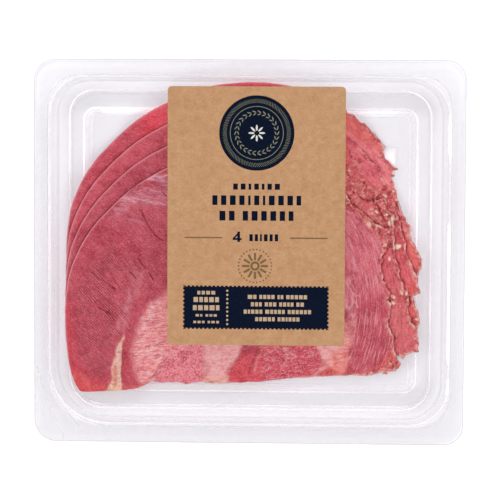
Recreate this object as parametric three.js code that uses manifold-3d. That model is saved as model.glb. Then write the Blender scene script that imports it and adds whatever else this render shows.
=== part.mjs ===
// Sliced pressed ox tongue in a clear thermoformed tray with a film lid and a paper label.
// Millimetres, +Z up. The origin is under the middle of the pack, on the surface that it lies on.
// +X runs along the pack's width, and +Y towards the top of its label.
import * as THREE from "three";
import { mergeVertices } from "three/addons/utils/BufferGeometryUtils.js";
import Module from "manifold-3d";

const wasm = await Module();
wasm.setup();

// Tray
const TRAY_WALL = 0.5;
const FLANGE_TOP = 14;
const FLANGE_EDGE_DROP = 0.9;
const HALF_WIDTH = 90;
const HALF_DEPTH = 80.3;
const EDGE_ROUND = 0.6;
const CORNER_STEPS = 7;
const CORNER_LEAST = 0.5;
const BEND = 0.9;
const BEND_SHARE = 0.4;

// Lid film and label
const LAYER_GAP = 0.02;
const FILM_THICKNESS = 0.15;
const FILM_INSET = 1.0;
const FILM_CORNER = 8.5;
const LABEL_THICKNESS = 0.15;
const LABEL_WIDTH = 73.9;
const LABEL_HEIGHT = 107.8;
const LABEL_CORNER = 1.7;
const LABEL_CENTRE = [3.1, 15.1];

// Slices
const SLICE_COUNT = 4;
const SLICE_THICKNESS = 1.7;
const SLICE_GAP = 0.3;
const SHINGLE_STEP = 9.15;
const ROUND_SIDE_STEPS = 46;
const GRID = 5;
const LEDGE_REST = 5.5;
const FLOOR_REST = 0.8;
const SAG_START = 5;
const SAG_RUN = 21;
const EDGE_LIFT = 5;
const EDGE_FALL = 7;
const CRUMBLE_START = 32;
const CRUMBLE_FULL = 55;
const CRUMBLE_DEPTH = 0.35;
const CRUMBLE_SEED = 7;

// Vertices nearer than this are one. The other two numbers drive the seeded draw.
const MERGE_REACH = 1e-4;
const DRAW_FACTOR = 1664525;
const DRAW_STEP = 1013904223;

const LOOKS = {
  tray: { color: 0xeeecf2, roughness: 0.08, metalness: 0, transparent: true, opacity: 0.35 },
  film: { color: 0xf6f5f9, roughness: 0.05, metalness: 0, transparent: true, opacity: 0.2 },
  paper: { color: 0xc0936e, roughness: 0.85, metalness: 0 },
  meat: { color: 0xb85662, roughness: 0.45, metalness: 0 },
};

// Rings of the tray's upper surface, from the flange's edge in to the floor. Each is a rectangle with
// rounded corners: half its width and depth, its height, its middle in Y, and the radii of its corners
// in the order upper right, upper left, lower left, lower right.
const FLANGE_EDGE = {
  half: [HALF_WIDTH, HALF_DEPTH],
  z: FLANGE_TOP - FLANGE_EDGE_DROP,
  middle: 0,
  corners: [8.2, 9.2, 9.6, 8.2],
};
const FLANGE_BREAK = {
  half: [HALF_WIDTH - EDGE_ROUND, HALF_DEPTH - EDGE_ROUND],
  z: FLANGE_TOP,
  middle: 0,
  corners: [7.6, 8.6, 9.0, 7.6],
};
const MOUTH = { half: [82.8, 71.8], z: FLANGE_TOP, middle: 0.2, corners: [15.8, 14.6, 24, 16.5] };
const WALL_FOOT = { half: [80.8, 70.9], z: 5, middle: 0.4, corners: [14.6, 13.6, 21.5, 15.5] };
const UPPER_STEP = { half: [75.6, 66.8], z: 4.7, middle: 0.1, corners: [11, 10, 14, 11.5] };
const UPPER_STEP_FOOT = { half: [74.9, 65.8], z: 3.1, middle: 0.1, corners: [10.4, 9.4, 13.4, 11] };
const LOWER_STEP = { half: [69.9, 59.4], z: 2.9, middle: 0, corners: [5, 5, 6.5, 5] };
const FLOOR_EDGE = { half: [66.9, 57], z: TRAY_WALL, middle: 0, corners: [2.6, 2.6, 3.6, 2.6] };
const TRAY_RINGS = [
  FLANGE_EDGE,
  FLANGE_BREAK,
  MOUTH,
  WALL_FOOT,
  UPPER_STEP,
  UPPER_STEP_FOOT,
  LOWER_STEP,
  FLOOR_EDGE,
];

// The smooth side of a slice as it lies in the front place, from its lower left corner up the left and
// over the top.
const ROUND_SIDE = [
  [-60.7, -59.8],
  [-69.7, -60.1],
  [-72.3, -58.5],
  [-75, -52.1],
  [-76.4, -43.9],
  [-77.1, -34.2],
  [-77.1, -24.6],
  [-76.3, -15.9],
  [-74.8, -8.2],
  [-70.7, 1.7],
  [-65.7, 9.7],
  [-61.6, 14.5],
  [-54.7, 21.5],
  [-46.1, 28.4],
  [-34.3, 35],
  [-18.6, 41.1],
  [0.3, 43.4],
  [17, 41.8],
  [29.6, 38],
];

// The cut side of a slice in the front place, from the lower right corner back to the lower left.
const CUT_SIDE = [
  [56.9, -51],
  [44.3, -52.2],
  [17, -53.9],
  [-3.9, -55.9],
  [-26.9, -56.6],
  [-41.2, -55.6],
  [-44, -57.2],
  [-50.5, -59.2],
];

// The crumbled right side of each slice, from the top down, the lowest slice first. Each place is where
// that slice lies in the pack.
const CRUMBLED_SIDES = [
  [
    [40.1, 59.7],
    [47.1, 53.9],
    [57, 44.1],
    [55.1, 41.9],
    [57, 38.8],
    [61.8, 34.4],
    [59.4, 31.6],
    [61.1, 25.4],
    [63.7, 17.4],
    [68.3, 9.3],
    [66.4, 8],
    [69.3, 3.4],
    [72.1, -3.4],
    [71.6, -8.3],
    [68.5, -16],
    [64, -23],
  ],
  [
    [40.1, 50.3],
    [53.4, 36.2],
    [57.9, 27],
    [61.1, 20.8],
    [64.4, 7.3],
    [66.2, -1.3],
    [70, -8.3],
    [71.6, -17.1],
    [68.5, -18.8],
    [70.9, -25.2],
    [71.5, -29.8],
    [66, -33.5],
  ],
  [
    [40.1, 38],
    [45.9, 27],
    [55.3, 26.5],
    [53.1, 21.9],
    [57.2, 22.7],
    [60.6, 15],
    [61, -0.2],
    [62.8, -7.3],
    [67, -16.7],
    [67, -23.6],
    [70.9, -33.6],
    [71.6, -42],
    [67.5, -42.9],
    [64.7, -45.3],
    [62.6, -43.5],
  ],
  [
    [40.1, 25.7],
    [46.8, 17.3],
    [52.4, 12.1],
    [59.2, 8.3],
    [57.4, 0.8],
    [55.5, -3.6],
    [56.6, -12],
    [59.3, -16.5],
    [58.5, -28.5],
    [60.9, -39.6],
    [63.5, -46.7],
    [61.9, -50.3],
  ],
];

// A closed mesh's geometry, its shared vertices merged, as a solid.
function toSolid(geometry) {
  const bare = new THREE.BufferGeometry();
  bare.setAttribute("position", geometry.getAttribute("position"));
  bare.setIndex(geometry.index);
  const merged = mergeVertices(bare, MERGE_REACH);
  return new wasm.Manifold(
    new wasm.Mesh({
      numProp: 3,
      vertProperties: new Float32Array(merged.attributes.position.array),
      triVerts: new Uint32Array(merged.index.array),
    }),
  );
}

// A solid's surface as a geometry.
function toGeometry(solid) {
  const mesh = solid.getMesh();
  return fromLists(Array.from(mesh.vertProperties), Array.from(mesh.triVerts));
}

// A geometry from a flat list of coordinates and a flat list of vertex numbers.
function fromLists(positions, indices) {
  const geometry = new THREE.BufferGeometry();
  geometry.setAttribute("position", new THREE.Float32BufferAttribute(positions, 3));
  geometry.setIndex(indices);
  geometry.computeVertexNormals();
  return geometry;
}

function namedMesh(name, geometry, look) {
  const mesh = new THREE.Mesh(geometry, new THREE.MeshStandardMaterial(look));
  mesh.name = name;
  return mesh;
}

// A value that goes smoothly from 0 at low to 1 at high.
function smoothStep(value, low, high) {
  return THREE.MathUtils.smoothstep(value, low, high);
}

// Two rings mixed: all their sizes, a fraction of the way from one to the other.
function mixRings(from, to, fraction) {
  const mix = (a, b) => THREE.MathUtils.lerp(a, b, fraction);
  return {
    half: from.half.map((value, i) => mix(value, to.half[i])),
    z: mix(from.z, to.z),
    middle: mix(from.middle, to.middle),
    corners: from.corners.map((value, i) => mix(value, to.corners[i])),
  };
}

// How far the tray's profile runs from one ring to the next, seen in a cut along X.
function profileLength(from, to) {
  return Math.hypot(to.half[0] - from.half[0], to.z - from.z);
}

// The rings with a small bend in place of each inner corner of the profile.
function bendProfile(rings) {
  const bent = [rings[0]];
  for (let i = 1; i < rings.length - 1; i += 1) {
    const [before, here, after] = rings.slice(i - 1, i + 2);
    const lead = Math.min(BEND / profileLength(before, here), BEND_SHARE);
    const trail = Math.min(BEND / profileLength(here, after), BEND_SHARE);
    const start = mixRings(here, before, lead);
    const end = mixRings(here, after, trail);
    bent.push(start, mixRings(mixRings(start, here, 0.5), mixRings(here, end, 0.5), 0.5), end);
  }
  bent.push(rings.at(-1));
  return bent;
}

// The rings of the sheet's underside: each upper ring moved out through the sheet, square to it.
function underRings(rings) {
  return rings.map((ring, i) => {
    const before = rings[Math.max(i - 1, 0)];
    const after = rings[Math.min(i + 1, rings.length - 1)];
    const length = profileLength(before, after);
    const out = (TRAY_WALL * (before.z - after.z)) / length;
    const down = (TRAY_WALL * (before.half[0] - after.half[0])) / length;
    const lastRing = i === rings.length - 1;
    return {
      half: ring.half.map((value) => value + (lastRing ? 0 : out)),
      z: lastRing ? 0 : Math.max(ring.z - down, 0),
      middle: ring.middle,
      corners: ring.corners.map((value) => Math.max(value + out, CORNER_LEAST)),
    };
  });
}

// The points of one ring, counter-clockwise seen from above.
function ringPoints({ half, z, middle, corners }) {
  const sides = [
    [1, 1],
    [-1, 1],
    [-1, -1],
    [1, -1],
  ];
  return sides.flatMap(([alongX, alongY], corner) => {
    const radius = corners[corner];
    const centreX = alongX * (half[0] - radius);
    const centreY = middle + alongY * (half[1] - radius);
    return Array.from({ length: CORNER_STEPS + 1 }, (_, step) => {
      const angle = ((corner + step / CORNER_STEPS) * Math.PI) / 2;
      return [centreX + radius * Math.cos(angle), centreY + radius * Math.sin(angle), z];
    });
  });
}

// A closed shell through rings that run from the middle of its top, out and round to the middle of its
// underside.
function shellThroughRings(rings) {
  const loops = rings.map(ringPoints);
  const count = loops[0].length;
  const positions = loops.flat(2);
  const indices = [];
  for (let ring = 0; ring < loops.length - 1; ring += 1) {
    for (let i = 0; i < count; i += 1) {
      const a = ring * count + i;
      const b = ring * count + ((i + 1) % count);
      indices.push(a, a + count, b, b, a + count, b + count);
    }
  }
  const addCap = (ring, facesUp) => {
    const middle = positions.length / 3;
    positions.push(0, rings[ring].middle, rings[ring].z);
    for (let i = 0; i < count; i += 1) {
      const a = ring * count + i;
      const b = ring * count + ((i + 1) % count);
      indices.push(middle, facesUp ? a : b, facesUp ? b : a);
    }
  };
  addCap(0, true);
  addCap(rings.length - 1, false);
  return fromLists(positions, indices);
}

function makeTray() {
  const upper = bendProfile(TRAY_RINGS);
  const under = underRings(upper);
  return namedMesh("tray", shellThroughRings([...upper.reverse(), ...under]), LOOKS.tray);
}

// A flat sheet with rounded corners, its underside at z = 0.
function roundedSheet(width, height, radius, thickness) {
  const shape = new THREE.Shape();
  const x = width / 2;
  const y = height / 2;
  shape.moveTo(-x + radius, -y);
  shape.lineTo(x - radius, -y);
  shape.absarc(x - radius, -y + radius, radius, -Math.PI / 2, 0);
  shape.lineTo(x, y - radius);
  shape.absarc(x - radius, y - radius, radius, 0, Math.PI / 2);
  shape.lineTo(-x + radius, y);
  shape.absarc(-x + radius, y - radius, radius, Math.PI / 2, Math.PI);
  shape.lineTo(-x, -y + radius);
  shape.absarc(-x + radius, -y + radius, radius, Math.PI, Math.PI * 1.5);
  return new THREE.ExtrudeGeometry(shape, {
    depth: thickness,
    bevelEnabled: false,
    curveSegments: CORNER_STEPS,
  });
}

function makeLidFilm() {
  const width = 2 * (HALF_WIDTH - FILM_INSET);
  const depth = 2 * (HALF_DEPTH - FILM_INSET);
  const film = namedMesh(
    "lid_film",
    roundedSheet(width, depth, FILM_CORNER, FILM_THICKNESS),
    LOOKS.film,
  );
  film.position.z = FLANGE_TOP + LAYER_GAP;
  return film;
}

function makeLabel() {
  const label = namedMesh(
    "label",
    roundedSheet(LABEL_WIDTH, LABEL_HEIGHT, LABEL_CORNER, LABEL_THICKNESS),
    LOOKS.paper,
  );
  label.position.set(...LABEL_CENTRE, FLANGE_TOP + 2 * LAYER_GAP + FILM_THICKNESS);
  return label;
}

// The outline of one slice, clockwise seen from above. Slice 0 is the lowest, and each one above it
// lies one shingle step further down the pack.
function sliceOutline(slice) {
  const rise = (SLICE_COUNT - 1 - slice) * SHINGLE_STEP;
  const raise = ([x, y]) => new THREE.Vector2(x, y + rise);
  const roundSide = new THREE.SplineCurve(ROUND_SIDE.map(raise)).getSpacedPoints(ROUND_SIDE_STEPS);
  const crumbled = CRUMBLED_SIDES[slice].map(([x, y]) => new THREE.Vector2(x, y));
  return [...roundSide, ...crumbled, ...CUT_SIDE.map(raise)];
}

// How far a point lies outside an outline, or 0 inside it.
function distanceOutside(outline, x, y) {
  let inside = false;
  let nearest = Infinity;
  outline.forEach((from, i) => {
    const to = outline[(i + 1) % outline.length];
    const alongX = to.x - from.x;
    const alongY = to.y - from.y;
    const reach = ((x - from.x) * alongX + (y - from.y) * alongY) / (alongX ** 2 + alongY ** 2);
    const clamped = THREE.MathUtils.clamp(reach, 0, 1);
    nearest = Math.min(
      nearest,
      Math.hypot(x - from.x - clamped * alongX, y - from.y - clamped * alongY),
    );
    if (from.y > y !== to.y > y && x < from.x + ((y - from.y) / alongY) * alongX) {
      inside = !inside;
    }
  });
  return inside ? 0 : nearest;
}

// How far a point lies inside the foot of the tray's wall.
function distanceFromWall(x, y) {
  const { half, middle, corners } = WALL_FOOT;
  const radius = corners[0];
  const overX = Math.abs(x) - (half[0] - radius);
  const overY = Math.abs(y - middle) - (half[1] - radius);
  const outside = Math.hypot(Math.max(overX, 0), Math.max(overY, 0));
  return radius - outside - Math.min(Math.max(overX, overY), 0);
}

// The height at which the lowest slice rests: on the upper ledge by the wall, sagging to the floor.
function restHeight(x, y) {
  const sag = smoothStep(distanceFromWall(x, y), SAG_START, SAG_START + SAG_RUN);
  return THREE.MathUtils.lerp(LEDGE_REST, FLOOR_REST, sag);
}

// A seeded draw of numbers between 0 and 1.
function seededDraw(seed) {
  let state = seed;
  return () => {
    state = (Math.imul(state, DRAW_FACTOR) + DRAW_STEP) >>> 0;
    return state / 2 ** 32;
  };
}

// The grid that all slices are shaped over, with each grid point's height as each slice is laid on.
function makeGrid() {
  const columns = Math.ceil((2 * WALL_FOOT.half[0]) / GRID);
  const rows = Math.ceil((2 * WALL_FOOT.half[1] + 2 * WALL_FOOT.middle) / GRID);
  const points = [];
  for (let row = 0; row <= rows; row += 1) {
    for (let column = 0; column <= columns; column += 1) {
      const x = (column - columns / 2) * GRID;
      const y = (row - rows / 2) * GRID;
      points.push({ x, y, height: restHeight(x, y) });
    }
  }
  return { columns, rows, points };
}

// A closed slab over the whole grid, between two heights given for each grid point.
function gridSlab({ columns, rows, points }, lower, upper) {
  const count = points.length;
  const positions = [
    ...points.flatMap(({ x, y }, i) => [x, y, lower[i]]),
    ...points.flatMap(({ x, y }, i) => [x, y, upper[i]]),
  ];
  const indices = [];
  const at = (column, row) => row * (columns + 1) + column;
  for (let row = 0; row < rows; row += 1) {
    for (let column = 0; column < columns; column += 1) {
      const a = at(column, row);
      const b = at(column + 1, row);
      const c = at(column + 1, row + 1);
      const d = at(column, row + 1);
      indices.push(a, c, b, a, d, c);
      indices.push(count + a, count + b, count + c, count + a, count + c, count + d);
    }
  }
  const rim = [];
  for (let column = 0; column < columns; column += 1) rim.push(at(column, 0));
  for (let row = 0; row < rows; row += 1) rim.push(at(columns, row));
  for (let column = columns; column > 0; column -= 1) rim.push(at(column, rows));
  for (let row = rows; row > 0; row -= 1) rim.push(at(0, row));
  rim.forEach((from, i) => {
    const to = rim[(i + 1) % rim.length];
    indices.push(from, to, count + to, from, count + to, count + from);
  });
  return fromLists(positions, indices);
}

// The upright block that cuts one slice out of the slab.
function outlineBlock(outline) {
  return new THREE.ExtrudeGeometry(new THREE.Shape(outline), {
    depth: FLANGE_TOP,
    bevelEnabled: false,
  });
}

// All slices, the lowest first. Each lies on those below it and sags past their edges, and its top is
// lumpy along the crumbled side.
function makeSlices() {
  const grid = makeGrid();
  const draw = seededDraw(CRUMBLE_SEED);
  const slices = [];
  for (let slice = 0; slice < SLICE_COUNT; slice += 1) {
    const outline = sliceOutline(slice);
    const lower = grid.points.map(({ height }) => height);
    const thickness = grid.points.map(({ x }) => {
      const crumble = smoothStep(x, CRUMBLE_START, CRUMBLE_FULL) * (2 * draw() - 1);
      return SLICE_THICKNESS + CRUMBLE_DEPTH * crumble;
    });
    const upper = lower.map((height, i) => height + thickness[i]);
    const slab = toSolid(gridSlab(grid, lower, upper));
    const solid = slab.intersect(toSolid(outlineBlock(outline)));
    slices.push(namedMesh(`slice_${slice + 1}`, toGeometry(solid), LOOKS.meat));
    grid.points.forEach((point, i) => {
      const beyond = distanceOutside(outline, point.x, point.y);
      const cover = 1 - smoothStep(beyond, EDGE_LIFT, EDGE_LIFT + EDGE_FALL);
      point.height += cover * (thickness[i] + SLICE_GAP);
    });
  }
  return slices;
}

const pack = new THREE.Group();
pack.add(makeTray(), makeLidFilm(), makeLabel(), ...makeSlices());

export default pack;
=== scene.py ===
"""Looks of a sealed tray pack of sliced pressed ox tongue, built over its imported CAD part.

Sizes in the classes are millimetres in the part's frame, and meshes are written in metres.
"""

import logging
import math
from dataclasses import dataclass, field
from enum import Enum
from functools import partial
from typing import Any, Iterable, Sequence

import bpy
import numpy as np
from bpy.types import Material, Node, NodeSocket, NodeTree, Object
from mathutils import Matrix, Vector
from mathutils.geometry import delaunay_2d_cdt
from mathutils.kdtree import KDTree


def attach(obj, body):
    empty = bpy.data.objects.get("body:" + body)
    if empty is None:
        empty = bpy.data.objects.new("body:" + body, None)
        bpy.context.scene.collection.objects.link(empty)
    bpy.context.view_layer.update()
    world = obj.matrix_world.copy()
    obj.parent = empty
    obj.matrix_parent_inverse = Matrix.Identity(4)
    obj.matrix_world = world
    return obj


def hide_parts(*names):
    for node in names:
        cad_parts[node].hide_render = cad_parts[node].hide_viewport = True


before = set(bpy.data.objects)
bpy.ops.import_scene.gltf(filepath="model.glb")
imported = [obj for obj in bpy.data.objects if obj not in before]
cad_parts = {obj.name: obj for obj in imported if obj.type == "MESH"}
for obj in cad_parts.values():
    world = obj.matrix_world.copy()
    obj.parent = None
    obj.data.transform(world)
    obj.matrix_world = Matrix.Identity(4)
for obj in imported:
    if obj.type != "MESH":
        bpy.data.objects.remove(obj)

MM = 0.001
LOG = logging.getLogger("tongue_pack")
Array = np.ndarray
Point = tuple[float, float]
Pair = tuple[float, float]
Path = Sequence[Point] | Array
Words = Sequence[Sequence[float]]
Numbers = tuple[float, ...]
LABEL_CENTRE = (3.1, 15.1)
LABEL_HALF = (36.95, 53.9)


# Colour, noise and shape helpers


def linear(code: str) -> Numbers:
    """Turns an sRGB hex colour into linear red, green, blue and alpha.

    Args:
        code: Six hex digits, with or without a leading #.

    Returns:
        Linear colour values with alpha 1.
    """
    digits = code.lstrip("#")
    values = [int(digits[i : i + 2], 16) / 255 for i in (0, 2, 4)]
    return (*[v / 12.92 if v <= 0.04045 else ((v + 0.055) / 1.055) ** 2.4 for v in values], 1.0)


def set_inputs(tree: NodeTree, made: Node, inputs: dict) -> None:
    """Sets a node's inputs, or links them.

    Args:
        tree: The node's tree.
        made: The node.
        inputs: Values, sockets or nodes by input name or number, where a node stands for its first output.
    """
    for name, value in inputs.items():
        source = value.outputs[0] if isinstance(value, Node) else value
        if isinstance(source, NodeSocket):
            tree.links.new(source, made.inputs[name])
        else:
            made.inputs[name].default_value = source


def add_node(tree: NodeTree, kind: str, inputs: dict | None = None, **settings: Any) -> Node:
    """Adds a node with its settings, input values and links.

    Args:
        tree: The tree that the node goes into.
        kind: The node's type name.
        inputs: Values, sockets or nodes by input name or number.
        **settings: Properties of the node.

    Returns:
        The new node.
    """
    made = tree.nodes.new(kind)
    for name, value in settings.items():
        setattr(made, name, value)
    set_inputs(tree, made, inputs or {})
    return made


def smooth(value: Array, low: float, high: float) -> Array:
    """Goes smoothly from 0 at low to 1 at high."""
    t = np.clip((np.asarray(value, float) - low) / (high - low), 0, 1)
    return t * t * (3 - 2 * t)


def lattice_noise(x: Array, y: Array, seed: int) -> Array:
    """Smooth seeded noise on a unit lattice.

    Args:
        x, y: Positions in lattice steps.
        seed: Which noise it is.

    Returns:
        Values from -1 to 1.
    """
    column, row = np.floor(x).astype(np.int64), np.floor(y).astype(np.int64)
    across, up = smooth(x - column, 0, 1), smooth(y - row, 0, 1)

    def knot(i: int, j: int) -> Array:
        """Draws the value of one lattice knot.

        Args:
            i, j: How many steps right and up from the place's own lattice cell.

        Returns:
            The values from -1 to 1.
        """
        mixed = ((column + i) * 374761393 + (row + j) * 668265263 + seed * 974634777) & 0xFFFFFFFF
        mixed = ((mixed ^ (mixed >> 13)) * 1274126177) & 0xFFFFFFFF
        return ((mixed ^ (mixed >> 16)) & 0xFFFF) / 32767.5 - 1

    low = knot(0, 0) * (1 - across) + knot(1, 0) * across
    high = knot(0, 1) * (1 - across) + knot(1, 1) * across
    return low * (1 - up) + high * up


def layered_noise(x: Array, y: Array, size: float, seed: int, layers: int = 3) -> Array:
    """Noise of several sizes, each half the last, from about -1 to 1.

    Args:
        x, y: Positions in mm.
        size: The largest lumps' size in mm.
        seed: Which noise it is.
        layers: How many sizes are laid over each other.

    Returns:
        The summed noise.
    """
    total, weight = np.zeros(np.shape(x)), 1.0
    for layer in range(layers):
        scale = 2**layer / size
        moved_x, moved_y = x * scale + 17.3 * layer, y * scale - 9.1 * layer
        total = total + weight * lattice_noise(moved_x, moved_y, seed + layer)
        weight *= 0.5
    return total / (2 - 2 * weight)


def path_distance(x: Array, y: Array, path: Path, closed: bool = False) -> Array:
    """How far points lie from a path.

    Args:
        x, y: Positions in mm.
        path: The path's corners.
        closed: Whether it runs back to its start.

    Returns:
        Distances in mm.
    """
    corners = list(path) + ([path[0]] if closed else [])
    nearest = np.full(np.shape(x), np.inf)
    for (ax, ay), (bx, by) in zip(corners, corners[1:]):
        ux, uy = bx - ax, by - ay
        reach = np.clip(((x - ax) * ux + (y - ay) * uy) / max(ux * ux + uy * uy, 1e-9), 0, 1)
        nearest = np.minimum(nearest, np.hypot(x - ax - reach * ux, y - ay - reach * uy))
    return nearest


def inside_path(x: Array, y: Array, path: Path) -> Array:
    """Tells which points lie inside a closed path.

    Args:
        x, y: Positions in mm.
        path: The closed path's corners.

    Returns:
        True where a point is inside.
    """
    within = np.zeros(np.shape(x), bool)
    for (ax, ay), (bx, by) in zip(path, list(path[1:]) + [path[0]]):
        if ay != by:
            crosses = (ay > y) != (by > y)
            within ^= crosses & (x < ax + (y - ay) / (by - ay) * (bx - ax))
    return within


def depth_inside(x: Array, y: Array, path: Path) -> Array:
    """Signed distance to a closed path, positive inside it."""
    return np.where(inside_path(x, y, path), 1, -1) * path_distance(x, y, path, closed=True)


def spline_through(points: Path, steps: int) -> list[Point]:
    """A smooth Catmull-Rom curve through points.

    Args:
        points: The points that it passes.
        steps: Steps between each two points.

    Returns:
        Points along the curve.
    """
    curve: list[Point] = []
    for i in range(len(points) - 1):
        p0, p1, p2, p3 = (np.array(points[min(max(k, 0), len(points) - 1)]) for k in (i - 1, i, i + 1, i + 2))
        square, cube = 2 * p0 - 5 * p1 + 4 * p2 - p3, 3 * p1 - p0 - 3 * p2 + p3
        for t in np.arange(steps) / steps:
            curve.append(tuple((2 * p1 + (p2 - p0) * t + square * t**2 + cube * t**3) / 2))
    return curve + [tuple(points[-1])]


def even_steps(path: Path, step: float, closed: bool = True) -> Array:
    """The points of a path at even distances along it.

    Args:
        path: The path's corners.
        step: Distance between points in mm.
        closed: Whether it runs back to its start.

    Returns:
        An array of points.
    """
    corners = np.array(list(path) + ([path[0]] if closed else []), float)
    along = np.concatenate([[0], np.cumsum(np.hypot(*np.diff(corners, axis=0).T))])
    count = max(int(along[-1] / step), 3)
    places = np.linspace(0, along[-1], count + 1)[: count if closed else count + 1]
    return np.column_stack([np.interp(places, along, corners[:, 0]), np.interp(places, along, corners[:, 1])])


def left_ways(line: Array, closed: bool = True) -> Array:
    """Unit vectors to the left of a path at each of its points."""
    ahead = np.roll(line, -1, 0) - np.roll(line, 1, 0) if closed else np.gradient(line, axis=0)
    return np.column_stack([-ahead[:, 1], ahead[:, 0]]) / np.hypot(*ahead.T)[:, None]


def point_tree(points: Array) -> KDTree:
    """Makes a tree that finds the nearest of some flat points.

    Args:
        points: An array of points in mm.

    Returns:
        The balanced tree.
    """
    tree = KDTree(len(points))
    for i, (x, y) in enumerate(points):
        tree.insert((x, y, 0.0), i)
    tree.balance()
    return tree


def tree_distance(tree: KDTree, x: Array, y: Array) -> Array:
    """How far places lie from the nearest point of a tree."""
    return np.array([tree.find((px, py, 0.0))[2] for px, py in zip(x, y)])


def dimple(x: Array, y: Array, px: float, py: float, size: float) -> Array:
    """How much points lie in a soft round spot, from 0 to 1."""
    return np.exp(-(((x - px) ** 2 + (y - py) ** 2) / size**2))


def laid_over(colour: Array, code: str, share: Array) -> Array:
    """Mixes a paint into linear colours, by a share for each point."""
    return colour + (np.array(linear(code)) - colour) * np.clip(share, 0, 1)[:, None]


def make_object(name: str, points: Array, faces: Iterable[Sequence[int]], is_smooth: bool = True) -> Object:
    """Makes a mesh object at the origin from points in mm.

    Args:
        name: The object's name.
        points: An array of points in mm.
        faces: Vertex numbers of each face, counter-clockwise seen from outside.
        is_smooth: Whether its faces are shaded smooth.

    Returns:
        The new object, linked to the scene.
    """
    mesh = bpy.data.meshes.new(name)
    mesh.from_pydata((np.asarray(points, float) * MM).tolist(), [], [tuple(map(int, f)) for f in faces])
    mesh.polygons.foreach_set("use_smooth", [is_smooth] * len(mesh.polygons))
    mesh.update()
    made = bpy.data.objects.new(name, mesh)
    bpy.context.scene.collection.objects.link(made)
    return made


def store(piece: Object, name: str, kind: str, values: Array) -> None:
    """Writes one value for each vertex of a piece.

    Args:
        piece: The object.
        name: The attribute's name.
        kind: FLOAT, FLOAT_VECTOR or FLOAT_COLOR.
        values: The values, one row for each vertex.
    """
    attribute = piece.data.attributes.new(name, kind, "POINT")
    key = {"FLOAT": "value", "FLOAT_VECTOR": "vector", "FLOAT_COLOR": "color"}[kind]
    attribute.data.foreach_set(key, np.asarray(values, np.float32).ravel())


def finish_piece(piece: Object, material: Material, slot: str, *nodes: str) -> Object:
    """Dresses a piece and fixes it to the pack.

    Args:
        piece: The finished mesh object.
        material: Its material.
        slot: A material slot name; not used.
        *nodes: The CAD nodes that it stands for.

    Returns:
        The piece.
    """
    if not piece.data.materials:
        piece.data.materials.append(material)
    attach(piece, "root")
    if nodes:
        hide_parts(*nodes)
    LOG.info("%s: %d triangles", piece.name, sum(len(p.vertices) - 2 for p in piece.data.polygons))
    return piece


def node_group(name: str, inputs: dict[str, str]) -> tuple[NodeTree, Any]:
    """Makes a Geometry Nodes tree with named inputs.

    Args:
        name: The tree's name.
        inputs: Kinds of the inputs by name.

    Returns:
        The tree and the sockets of its inputs.
    """
    tree = bpy.data.node_groups.new(name, "GeometryNodeTree")
    for label, kind in inputs.items():
        tree.interface.new_socket(name=label, in_out="INPUT", socket_type=f"NodeSocket{kind}")
    tree.interface.new_socket(name="Result", in_out="OUTPUT", socket_type="NodeSocketGeometry")
    return tree, add_node(tree, "NodeGroupInput").outputs


def end_group(tree: NodeTree, instances: Any, material: Any) -> NodeTree:
    """Ends a tree: instances made real, with a material on them.

    Args:
        tree: The Geometry Nodes tree.
        instances: Socket of the instances.
        material: Socket of the material.

    Returns:
        The tree.
    """
    node = partial(add_node, tree)
    real = node("GeometryNodeRealizeInstances", {0: instances})
    dressed = node("GeometryNodeSetMaterial", {"Geometry": real, "Material": material})
    node("NodeGroupOutput", {0: dressed})
    return tree


def grow(piece: Object, tree: NodeTree, values: dict[str, Any]) -> Object:
    """Runs a tree on a piece and keeps its result as a plain mesh.

    Args:
        piece: The object that the tree starts from.
        tree: The Geometry Nodes tree.
        values: Values of the tree's inputs by name.

    Returns:
        The piece, without a modifier.
    """
    modifier = piece.modifiers.new("grown", "NODES")
    modifier.node_group = tree
    for item in tree.interface.items_tree:
        if item.in_out == "INPUT" and item.name in values:
            modifier[item.identifier] = values[item.name]
    mesh = bpy.data.meshes.new_from_object(piece.evaluated_get(bpy.context.evaluated_depsgraph_get()))
    piece.modifiers.remove(modifier)
    piece.data = mesh
    mesh.name = piece.name
    return piece


def flat_plates(name: str, outlines: Sequence[Path], high: float, low: float) -> Object:
    """Makes thin upright-sided plates, all in one object.

    Args:
        name: The object's name.
        outlines: Convex outlines, counter-clockwise.
        high: Height of their upper faces in mm.
        low: Height of their lower faces in mm.

    Returns:
        The new object.
    """
    points, faces = [], []
    for outline in outlines:
        start, count = len(points), len(outline)
        points += [(x, y, z) for z in (high, low) for x, y in outline]
        faces.append(tuple(range(start, start + count)))
        faces.append(tuple(range(start + 2 * count - 1, start + count - 1, -1)))
        for i in range(count):
            j = (i + 1) % count
            faces.append((start + i, start + count + i, start + count + j, start + j))
    return make_object(name, np.array(points), faces, False)


def rounded_rectangle(half: Pair, corners: Sequence[float], middle: Point, steps: int) -> Array:
    """The points of a rectangle with rounded corners, counter-clockwise.

    Args:
        half: Half its width and depth.
        corners: Radii upper right, upper left, lower left and lower right.
        middle: Its middle.
        steps: Steps round each corner.

    Returns:
        An array of points.
    """
    signs = ((1, 1), (-1, 1), (-1, -1), (1, -1))
    points = []
    for quarter, ((sx, sy), radius) in enumerate(zip(signs, corners)):
        for step in range(steps + 1):
            angle = (quarter + step / steps) * math.pi / 2
            points.append(
                (
                    middle[0] + sx * (half[0] - radius) + radius * math.cos(angle),
                    middle[1] + sy * (half[1] - radius) + radius * math.sin(angle),
                )
            )
    return np.array(points)


# Finishes


@dataclass(frozen=True)
class Tone:
    """A colour worked over a base where a pattern runs from one level to another."""

    pattern: str
    start: float
    full: float
    strength: float
    colour: str
    area: str = ""
    is_shade: bool = False


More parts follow.
